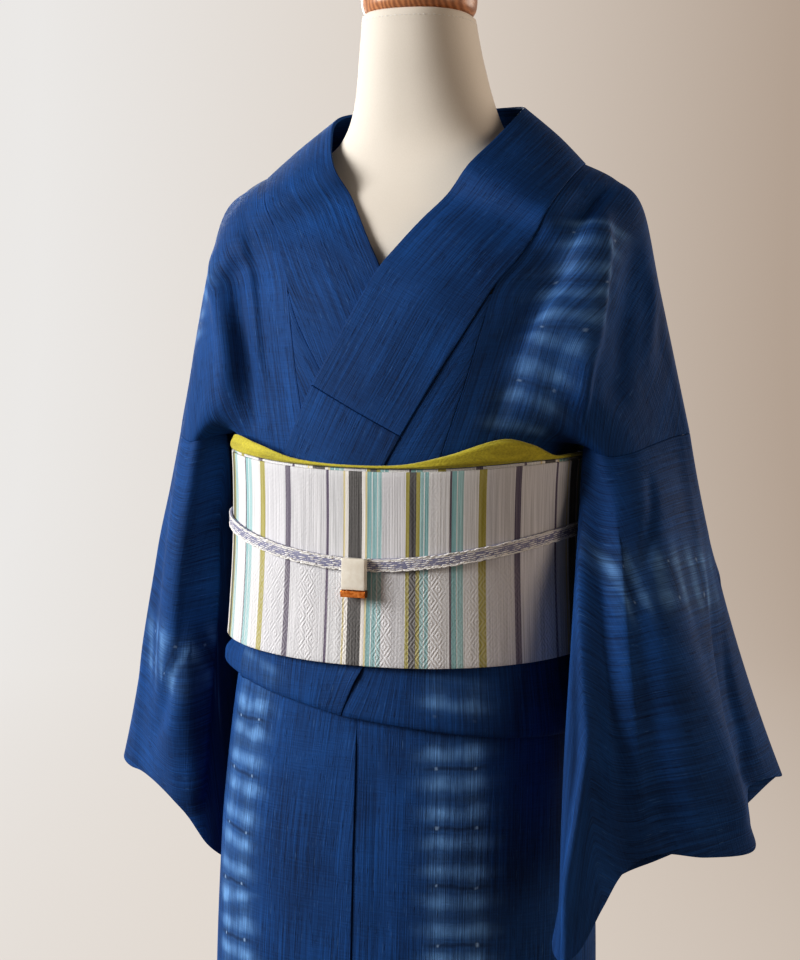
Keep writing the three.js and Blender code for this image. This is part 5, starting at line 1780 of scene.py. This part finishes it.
def collar_cloth(net: Array) -> Cloth:
    """A smooth folded collar through its control rows of inner edge, middle and outer edge."""
    rows = np.linspace(0, len(net) - 1, (len(net) - 1) * 8 + 1)
    grid = spline(net, rows)
    grid = np.moveaxis(spline(np.moveaxis(grid, 1, 0), np.linspace(0, 2, 19)), 0, 1)
    return Cloth(grid, thick=COLLAR)


@dataclass
class Bodice:
    """Both halves of the bodice and the over-collar."""

    def sides(self) -> tuple[Side, Side]:
        """The right half, which lies underneath, and the left one."""
        back_folds = (
            Crease(((62, 640), (54, 740), (40, 850)), 4.5, 14, 9, (0.3, 0.15), Where.FLAT),
            Crease(((104, 610), (99, 720), (88, 840)), -2.6, 12, 14, (0.3, 0.15), Where.FLAT),
            Crease(((150, 630), (146, 730), (131, 835)), 6.0, 20, 10, (0.3, 0.15), Where.FLAT),
            Crease(((196, 640), (192, 720), (178, 800)), -3.0, 12, 12, (0.3, 0.2), Where.FLAT),
        )
        sleeve_back = (
            Crease(((60, 985), (210, 960), (405, 905)), 6.0, 13, 26, (0.3, 0.05), Where.FLAT),
            Crease(((80, 925), (220, 890), (405, 845)), -7.0, 22, 18, (0.3, 0.05), Where.FLAT),
            Crease(((90, 860), (230, 830), (400, 780)), 5.0, 12, 20, (0.3, 0.05), Where.FLAT),
        )
        left_folds = (
            Crease(((602, 186), (570, 248), (543, 302), (524, 335), (510, 378)), -6.0, 6, 16, (0.1, 0.35)),
            Crease(((604, 205), (602, 255), (595, 314), (587, 370), (579, 425)), 12.5, 6, 24, (0.3, 0.12)),
            Crease(((634, 225), (634, 275), (624, 342), (612, 425)), -5.0, 12, 16, (0.3, 0.15)),
            Crease(((509, 374), (498, 408), (487, 442)), -2.0, 8, 5, (0.4, 0.1)),
            Crease(((536, 240), (514, 300), (494, 360)), 1.2, 10, 12, (0.4, 0.4)),
            Crease(((652, 262), (650, 320), (644, 380)), 3.5, 10, 8, (0.4, 0.4)),
        )
        left_sleeve = (
            Crease(((600, 500), (596, 600), (586, 740), (571, 853), (562, 935)), 7.0, 26, 12, (0.4, 0.05)),
            Crease(((622, 470), (634, 600), (652, 738), (662, 815), (659, 852)), -12.0, 24, 30, (0.3, 0.1)),
            Crease(((683, 470), (700, 600), (722, 738), (742, 840)), 6.0, 10, 24, (0.3, 0.1)),
            Crease(((717, 600), (731, 690), (743, 745), (757, 795)), -3.0, 6, 8, (0.4, 0.1)),
            Crease(((646, 462), (653, 500), (653, 545), (648, 585)), -2.5, 5, 6, (0.3, 0.4)),
        )
        right_folds = (
            Crease(((231, 262), (238, 320), (247, 360), (252, 400), (257, 442)), -1.6, 8, 9, (0.25, 0.1)),
            Crease(((214, 245), (219, 300), (224, 350), (230, 410)), 6.0, 14, 9, (0.3, 0.2)),
            Crease(((244, 222), (250, 270), (257, 320), (262, 370), (272, 405)), 3.2, 4, 7, (0.3, 0.3)),
            Crease(((244, 203), (251, 240), (259, 298), (264, 348), (268, 372), (278, 400), (292, 425)), -0.7,
                   4, 5,
                   (0.15, 0.15)),
            Crease(((276, 225), (282, 270), (287, 330)), 1.2, 6, 8, (0.3, 0.3)),
        )
        right_sleeve = (
            Crease(((216, 500), (214, 593), (205, 693), (199, 812)), 7.0, 8, 26, (0.3, 0.1)),
            Crease(((196, 500), (186, 614), (167, 690), (149, 748)), -5.0, 14, 12, (0.3, 0.15)),
            Crease(((172, 480), (158, 570), (146, 650), (138, 710)), 2.5, 11, 11, (0.3, 0.3)),
        )
        chest_band = Band(((606, 215), (588, 265), (564, 325), (538, 382), (508, 440)), 0.55, 22.0)
        arm_band = Band(((596, 585), (640, 579), (676, 579), (716, 578)), 0.6, 12.0)
        wrist_band = Band(((140, 640), (162, 653), (196, 672), (220, 688)), 0.6, 12.0)
        shoulder_band = Band(((214, 252), (200, 300), (189, 350)), 0.45, 10.0)
        left = Side("left", 1, Edges(UPPER_EDGE, Layer.LEFT.value), LEFT_ARM, left_folds + back_folds,
                    left_sleeve + sleeve_back, (chest_band,), (arm_band,))
        right = Side("right", -1, Edges(UNDER_EDGE, Layer.RIGHT.value), RIGHT_ARM,
                     right_folds + back_folds[1:],
                     right_sleeve + sleeve_back[:2], (shoulder_band,), (wrist_band,))
        return right, left

    def build(self, finishes: Finishes) -> None:
        """Builds the bodice."""
        right, left = self.sides()
        right.build(finishes)
        left.build(finishes)
        net = np.concatenate([left.edges.collar(COLLAR_END_ROW),
                              right.edges.collar(COLLAR_END_ROW)[::-1][1:]])
        wear_sheet(collar_cloth(net), "over_collar", finishes.tsumugi, Slot.TSUMUGI)


# The obi and what ties it


OBI_TOP = 1058.0
OBI_RISE = 3.5
OBI_DIP = 5.5


def obi_top(degrees: Array) -> Array:
    """Height of the obi's upper edge, which rises at the sides and dips in front."""
    s, c = np.sin(np.radians(degrees)), np.cos(np.radians(degrees))
    return OBI_TOP + OBI_RISE * s * s - OBI_DIP * np.maximum(0, c) ** 3


@dataclass
class Obi:
    """Two turns of the obi, and its drum bow over the folded hand.

    Attributes:
        bottom: height of its lower edge in front.
        width: of the drum bow.
        hand: width and height of the hand.
        hand_y: depth of the hand's middle.
        hand_z: height of the hand's middle.
        pillow: depth and height of the pillow's middle, then its half depth and half height.
        columns: points of the mesh round a turn.
        rows: points of the mesh up a turn.
    """

    bottom: float = 901.0
    width: float = 300.0
    hand: Pair = (344.0, 150.0)
    hand_y: float = 151.5
    hand_z: float = 960.0
    pillow: tuple[float, float, float, float] = (148.0, 1085.0, 34.0, 30.0)
    columns: int = 260
    rows: int = 30
    # Depth and height of the drum's sheet after its arc over the pillow, from the upper face to the tail.
    drum: tuple[Pair, ...] = ((197, 1040), (197, 965), (190, 890), (176, 848), (164, 840), (154, 848),
                              (147, 874),
                              (146, 938), (141, 953), (136, 940), (134, 880), (136, 762))

    def build(self, finishes: Finishes) -> None:
        """Builds the turns, the drum and the hand."""
        for node, layer, shift, start in (("obi_inner_turn", Layer.OBI_INNER, 2.0, 40.0),
                                          ("obi_outer_turn", Layer.OBI_OUTER, 0.0, 0.0)):
            degrees = np.linspace(180, 540, self.columns, endpoint=False)
            angle, t = np.meshgrid(degrees, np.linspace(1, 0, self.rows))
            x = BODY.on_ring(angle, self.bottom, layer.value)[..., 0]
            low = self.bottom + 0.0003 * x * x + shift
            z = low + (obi_top(angle) + shift - low) * t
            cloth = Cloth(BODY.on_ring(angle, z, layer.value + OBI / 2), OBI, closed=True)
            cloth.flat[..., 0] = cloth.flat[..., 0].mean(axis=0) + start
            wear_sheet(cloth, node, finishes.obi, Slot.OBI)
        self._drum(finishes)
        self._hand(finishes)

    def _drum(self, finishes: Finishes) -> None:
        """The drum: down from the pillow, folded under, and up behind the hand."""
        y, z, depth, height = self.pillow
        grow = DRUM / 2 + 0.6
        arc = np.radians([-45, -22, 0, 22, 44, 64])
        points = np.stack([y + (depth + grow) * np.sin(arc), z + (height + grow) * np.cos(arc)], axis=-1)
        points = np.concatenate([points, np.array(self.drum)])
        line = spline(points, np.linspace(0, len(points) - 1, 150))
        u = np.linspace(-1, 1, 60)
        at = np.linspace(0, len(points) - 1, 150)
        crown = 2.2 * smooth((at - 3) / 3) * smooth((9 - at) / 2)
        grid = np.stack(np.broadcast_arrays(
            u[None, :] * self.width / 2, line[:, :1] + crown[:, None] * (1 - u[None, :] ** 2), line[:, 1:]),
                        axis=-1)
        cloth = Cloth(grid, DRUM, warp_rows=False)
        wear_sheet(cloth, "obi_drum", finishes.obi, Slot.OBI)

    def _hand(self, finishes: Finishes) -> None:
        """The obi's folded hand through the drum, as two sheets joined by the fold at its foot."""
        half, fold = self.hand[1] / 2, 1.35
        foot = self.hand_z - half + fold + 1.1
        turn = np.linspace(0, math.pi, 12)
        up = np.linspace(self.hand_z + half - 0.2, foot, 30)
        outer = np.stack([np.full(30, fold), up], axis=-1)
        bend = np.stack([fold * np.cos(turn[1:-1]), foot - fold * np.sin(turn[1:-1])], axis=-1)
        inner = np.stack([np.full(30, -fold), up[::-1] - 0.6], axis=-1)
        section = np.concatenate([outer, bend, inner])
        u = np.linspace(-1, 1, 60) * (self.hand[0] / 2 - 0.2)
        grid = np.stack(np.broadcast_arrays(u[None, :], self.hand_y + section[:, :1], section[:, 1:]),
                        axis=-1)
        cloth = Cloth(grid, 2.2)
        wear_sheet(cloth, "obi_hand", finishes.obi, Slot.OBI)


@dataclass
class Sash:
    """The obiage: a roll of crepe round the obi's top edge, full over the pillow, in two lobes in front.

    Attributes:
        sides: points round its section.
        table: degrees, how far out its middle lies, its half thickness, its foot and its height.
    """

    sides: int = 32
    table: tuple[tuple[float, ...], ...] = (
        (-180, 50, 34, 1055, 60), (-155, 40, 27, 1057, 46), (-138, 27, 10, 1060.5, 26),
        (-124, 18, 3, 1060.5, 6),
        (-108, 15, 2.2, 1060.3, 3.4), (-76, 15, 2.2, 1060.3, 3.4), (-66, 15, 2.2, 1060.3, 4),
        (-54, 16, 2.8, 1060.3, 14),
        (-35, 15, 2.8, 1060.3, 11), (-18, 14.2, 2, 1060.3, 4), (8, 14.2, 2, 1060.3, 3),
        (22, 15, 2.8, 1060.3, 9),
        (42, 16, 3.2, 1060.3, 20), (54, 16.5, 3.2, 1060.3, 14), (66, 15, 2.2, 1060.3, 3.6),
        (76, 15, 2.2, 1060.3, 3.4),
        (108, 15, 2.2, 1060.3, 3.4), (124, 18, 3, 1060.5, 6), (138, 27, 10, 1060.5, 26),
        (155, 40, 27, 1057, 46),
        (180, 50, 34, 1055, 60),
    )

    def build(self, finishes: Finishes) -> None:
        """Builds the roll with its soft lengthwise folds."""
        degrees = np.linspace(-180, 180, 300, endpoint=False)
        table = np.array(self.table, float)
        out, half, foot, tall = (track(table, k, degrees)[:, None] for k in (1, 2, 3, 4))
        a = (np.arange(self.sides) + 0.5) / self.sides * 2 * math.pi
        folds = 1 - 0.07 * (1 + np.sin(5 * a[None, :] + np.radians(degrees * 2.3)[:, None]))
        z = foot + obi_top(degrees)[:, None] - OBI_TOP + tall / 2 + tall / 2 * np.sin(a) * folds
        rings = BODY.on_ring(degrees[:, None], OBI_TOP, out + half * np.cos(a) * folds)
        rings[..., 2] = z
        wear(loft("obiage_crepe_roll", rings, finishes.crepe, loop=True), Slot.CREPE, "obiage")


@dataclass
class Cord:
    """The obijime: a flat braid round the obi and over the hand inside the drum, tight all the way.

    Attributes:
        width: of the braid.
        thick: of the braid.
        height: above the floor in front.
        rise: how much higher it lies at the sides.
        back_height: above the floor behind.
        hand_width: of the obi's hand, round whose edges it bends.
        hand_face: depth of the hand's outer face.
        plait: mm from one grain of the braid to the next.
    """

    width: float = 11.0
    thick: float = 3.0
    height: float = 980.0
    rise: float = 27.0
    back_height: float = 1000.0
    hand_width: float = 344.0
    hand_face: float = 154.0
    plait: float = 2.0

    def line(self) -> tuple[Array, Array]:
        """The path, closed, with the direction in which the braid faces."""
        off = Layer.OBI_OUTER.value + OBI + SEAM + self.thick / 2
        degrees = np.arange(-107.0, 93.5, 3.0)
        front = BODY.on_ring(degrees, self.height + self.rise * np.abs(np.sin(np.radians(degrees))) ** 1.6,
                             off)
        face = self.hand_face + SEAM + self.thick / 2
        half = self.hand_width / 2
        turn = np.radians([90, 67, 45, 22, 0])
        corner = np.stack([half + 2.6 * np.sin(turn), face - 2.4 + 2.4 * np.cos(turn)], axis=-1)
        side = np.concatenate([[(half + 2.6, face - 16)], corner,
                               [(half * 0.75, face), (half * 0.5, face), (half * 0.25, face)]])
        back = np.concatenate([side, [(0, face)], side[::-1] * (-1, 1)])
        back = np.concatenate([back, np.full((len(back), 1), self.back_height)], axis=1)
        line = spline(np.concatenate([front, back]),
                      np.linspace(0, len(front) + len(back), 700, endpoint=False), True)
        way = np.roll(line, -1, axis=0) - np.roll(line, 1, axis=0)
        out = np.cross(way, (0, 0, 1.0))
        return line, out / np.linalg.norm(out, axis=-1, keepdims=True)

    def build(self, finishes: Finishes) -> None:
        """Builds the core and the braid's long strands, row beside row."""
        line, out = self.line()
        core = ((0.75, 0.42), (0.55, 0.9), (0.0, 0.95), (-0.6, 0.95), (-1, 0.6), (-1, -0.6), (-0.6, -0.95),
                (0.0, -0.95),
                (0.55, -0.9), (0.75, -0.42))
        rings = np.stack([line + out * a * self.thick / 2 + np.array((0, 0, b * self.width / 2)) for a,
                          b in core], axis=1)
        wear(loft("obijime_core", rings, finishes.lavender, loop=True), Slot.CORD, "obijime")
        path = np.concatenate([line, line[:1]])
        facing = np.concatenate([out, out[:1]])
        rows = np.linspace(-0.78, 0.78, 7) * self.width / 2
        strands = ("edges", "middle", "lines", "middle", "lines", "middle", "edges")
        looks = {"edges": finishes.cream, "middle": finishes.lavender, "lines": finishes.pale_braid}
        groups = {part: [] for part in looks}
        for k, (offset, part) in enumerate(zip(rows, strands)):
            grain = RepeatAlong(self.plait, 6.5, 1.35, 1.3 if part == "edges" else 0.7, offset=offset,
                                tilt=4.0,
                                lift=self.thick * 0.28, seed=k + 1, fine=1)
            groups[part].append(grain.build("braid_row", path, facing, looks[part]))
        for part, meshes in groups.items():
            wear(join(f"obijime_braid_{part}", meshes), Slot.CORD)


@dataclass
class Clasp:
    """The obidome: a glazed block on the cord, with a copper strip under it.

    Attributes:
        x: of its middle.
        z: height of the block's middle.
        width: of the block.
        height: of the block.
        depth: of the block.
        strip: height of the strip.
    """

    x: float = -0.5
    z: float = 973.5
    width: float = 19.5
    height: float = 24.5
    depth: float = 6.5
    strip: float = 5.5

    def build(self, finishes: Finishes) -> None:
        """Builds the block and the strip."""
        back = BODY.on_ring(-3.0, 980.0, Layer.OBI_OUTER.value + OBI + SEAM + 3.0)[1] - 0.7
        self._block("obidome_block", self.width, self.height, self.depth, self.z, back, 1.6, finishes.glaze,
                    Slot.IVORY,
                    "obidome")
        strip_z = self.z - self.height / 2 - SEAM - self.strip / 2
        self._block("obidome_strip", self.width + 1, self.strip, self.depth + 0.6, strip_z, back, 1.1,
                    finishes.copper,
                    Slot.COPPER, "obidome_trim")

    def _block(self, name: str, width: float, height: float, depth: float, z: float, back: float,
               radius: float,
               finish: bpy.types.Material, slot: Slot, node: str) -> None:
        """A block with rounded edges and a slightly domed face.

        Args:
            name: the piece's name.
            width: in mm.
            height: in mm.
            depth: in mm.
            z: height of its middle.
            back: depth of its rear face.
            radius: of its edges.
            finish: its material.
            slot: the record's slot; not used.
            node: the solid that it stands for.
        """
        work = bmesh.new()
        size = Matrix.Diagonal((width * MM, depth * MM, height * MM, 1))
        place = Matrix.Translation(Vector((self.x, back - depth / 2, z)) * MM)
        bmesh.ops.create_cube(work, size=1.0, matrix=place @ size)
        bmesh.ops.subdivide_edges(work, edges=work.edges[:], cuts=5, use_grid_fill=True)
        for vert in work.verts:
            u = (vert.co.x / MM - self.x) / (width / 2)
            v = (vert.co.z / MM - z) / (height / 2)
            if vert.co.y / MM < back - depth + 0.01:
                vert.co.y += 0.5 * MM * (1 - (1 - u * u) * (1 - v * v))
        mesh = bpy.data.meshes.new(name)
        work.to_mesh(mesh)
        work.free()
        mesh.materials.append(finish)
        mesh.polygons.foreach_set("use_smooth", [True] * len(mesh.polygons))
        piece = add_object(name, mesh)
        bevel = piece.modifiers.new("round_edges", "BEVEL")
        bevel.width = radius * MM
        bevel.segments = 4
        bevel.limit_method = "ANGLE"
        bevel.angle_limit = math.radians(50)
        wear(piece, slot, node)


# The studio


@dataclass
class Studio:
    """A wide round room whose pale floor curves up into its wall, soft light from the left, and the camera.

    Attributes:
        radius: of the wall, in mm, so that the figure can be seen from every side inside it.
        bend: radius of the curve between the floor and the wall, in mm.
        height: of the wall, in mm.
        paint: the floor's colour near the figure.
        glow: painted light of the wall, which glows though it is no lamp, from the photograph's left, brightest,
            to its right, darkest.
        half_span: mm beside the figure where the first and last of those colours lie.
        fade: mm from the figure between which the floor, lit by the lamps, turns into the wall's painted glow.
        sides: of the room.
    """

    radius: float = 6000.0
    bend: float = 1500.0
    height: float = 7000.0
    paint: str = "#cdc8c3"
    glow: tuple[str, str, str] = ("#dad8d6", "#cdc4bb", "#a99a8d")
    half_span: float = 1600.0
    fade: Pair = (500.0, 1500.0)
    sides: int = 96

    def build(self) -> None:
        """Builds the stage, the lights and the camera."""
        VIEW.add()
        turn = np.radians(np.linspace(0, 90, 16))
        flat = self.radius - self.bend
        reach = np.concatenate([[flat / 3, flat * 2 / 3], flat + self.bend * np.sin(turn), [self.radius]])
        level = np.concatenate([[0.0, 0.0], self.bend - self.bend * np.cos(turn), [self.height]])
        sides = self.sides
        around = np.radians(np.arange(sides) * 360 / sides)
        rings = np.stack([reach[:, None] * np.cos(around), reach[:, None] * np.sin(around),
                          np.repeat(level[:, None], sides, axis=1)], axis=-1)
        points = np.concatenate([[[0.0, 0.0, 0.0]], rings.reshape(-1, 3)])
        faces = []
        for side in range(sides):
            after = (side + 1) % sides
            faces.append((0, 1 + side, 1 + after))
            for ring in range(len(reach) - 1):
                inner, outer = 1 + ring * sides, 1 + (ring + 1) * sides
                faces.append((inner + side, outer + side, outer + after, inner + after))
        mesh = bpy.data.meshes.new("stage_room")
        mesh.from_pydata((points * MM).tolist(), [], faces)
        mesh.polygons.foreach_set("use_smooth", [True] * len(mesh.polygons))
        mesh.materials.append(self._glowing_plaster())
        room = add_object("stage_room", mesh)
        # The room is only looked at: it neither shades the figure nor throws light on it.
        room.visible_diffuse = False
        room.visible_shadow = False
        self._lights()

    def _glowing_plaster(self) -> bpy.types.Material:
        """Painted plaster, matt and warm white: the lamps light it near the figure, and farther off it glows with
        painted light, lighter at the left than at the right, though it is no lamp.
        """
        make = shader("plaster_with_painted_glow", Roughness=0.9, Specular_IOR_Level=0.1)
        tree = make.tree
        place = add(tree, "ShaderNodeTexCoord").outputs["Object"]
        away = add(tree, "ShaderNodeVectorMath", [place], operation="LENGTH").outputs["Value"]
        near, far = np.array(self.fade) * MM
        # even is the share of painted glow: none near the figure, all of it farther off.
        even = add(tree, "ShaderNodeMapRange", [away, near, far, 0.0, 1.0], interpolation_type="SMOOTHSTEP")
        azimuth = math.radians(VIEW.azimuth)
        rightwards = (math.cos(azimuth), math.sin(azimuth), 0.0)
        beside = add(tree, "ShaderNodeVectorMath", [place, rightwards],
                     operation="DOT_PRODUCT").outputs["Value"]
        across = add(tree, "ShaderNodeMapRange",
                     [beside, -self.half_span * MM, self.half_span * MM, 0.0, 1.0])
        # Painted light: the wall glows brighter on the left and darker on the right, as if the window lit it.
        painted_light_tones = add(tree, "ShaderNodeValToRGB", [across], stops=list(zip((0.0, 0.5, 1.0), self.glow)))
        make.paint(add(tree, "ShaderNodeMixRGB", [even, colour(self.paint), (0.0, 0.0, 0.0, 1.0)]))
        add_link(tree, painted_light_tones, make.surface.inputs["Emission Color"])
        add_link(tree, even, make.surface.inputs["Emission Strength"])
        return make.material

    def _lights(self) -> None:
        """A large window on the left, a weak fill on the right, two soft lamps behind and a faint glow."""
        for name, place, aim, size, power, tone in (
            ("window", (-2.05, -1.25, 1.75), (0.0, 0.0, 1.0), 1.1, 84.0, "#fffbf6"),
            ("fill", (2.25, -0.6, 1.4), (0.1, 0.0, 1.05), 1.2, 13.0, "#ffe7cf"),
            ("behind_left", (-1.5, 2.3, 1.9), (0.0, 0.0, 1.0), 1.4, 34.0, "#f6f3ef"),
            ("behind_right", (1.9, 2.0, 1.7), (0.0, 0.0, 1.0), 1.4, 26.0, "#ffeedd"),
        ):
            data = bpy.data.lights.new(name, "AREA")
            data.size = size
            data.energy = power
            data.color = colour(tone)[:3]
            light = bpy.data.objects.new(name, data)
            way = Vector(aim) - Vector(place)
            light.matrix_world = Matrix.Translation(place) @ way.to_track_quat("-Z", "Y").to_matrix().to_4x4()
            light.visible_camera = False
            bpy.context.scene.collection.objects.link(light)
        world = bpy.data.worlds.new("soft_room")
        world.use_nodes = True
        background = world.node_tree.nodes["Background"]
        background.inputs["Color"].default_value = colour("#f3e2d2")
        background.inputs["Strength"].default_value = 0.1
        bpy.context.scene.world = world
        settings = bpy.context.scene.view_settings
        settings.view_transform = "Standard"
        settings.look = "Medium High Contrast"


def main() -> None:
    """Builds every piece, in order from the form outwards."""
    logging.basicConfig(level=logging.INFO, format="%(message)s")
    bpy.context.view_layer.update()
    finishes = Finishes()
    Studio().build()
    DressForm().build(finishes)
    Skirt().build(finishes)
    Tuck().build(finishes)
    Bodice().build(finishes)
    Sash().build(finishes)
    Obi().build(finishes)
    Cord().build(finishes)
    Clasp().build(finishes)


if __name__ == "__main__":
    main()
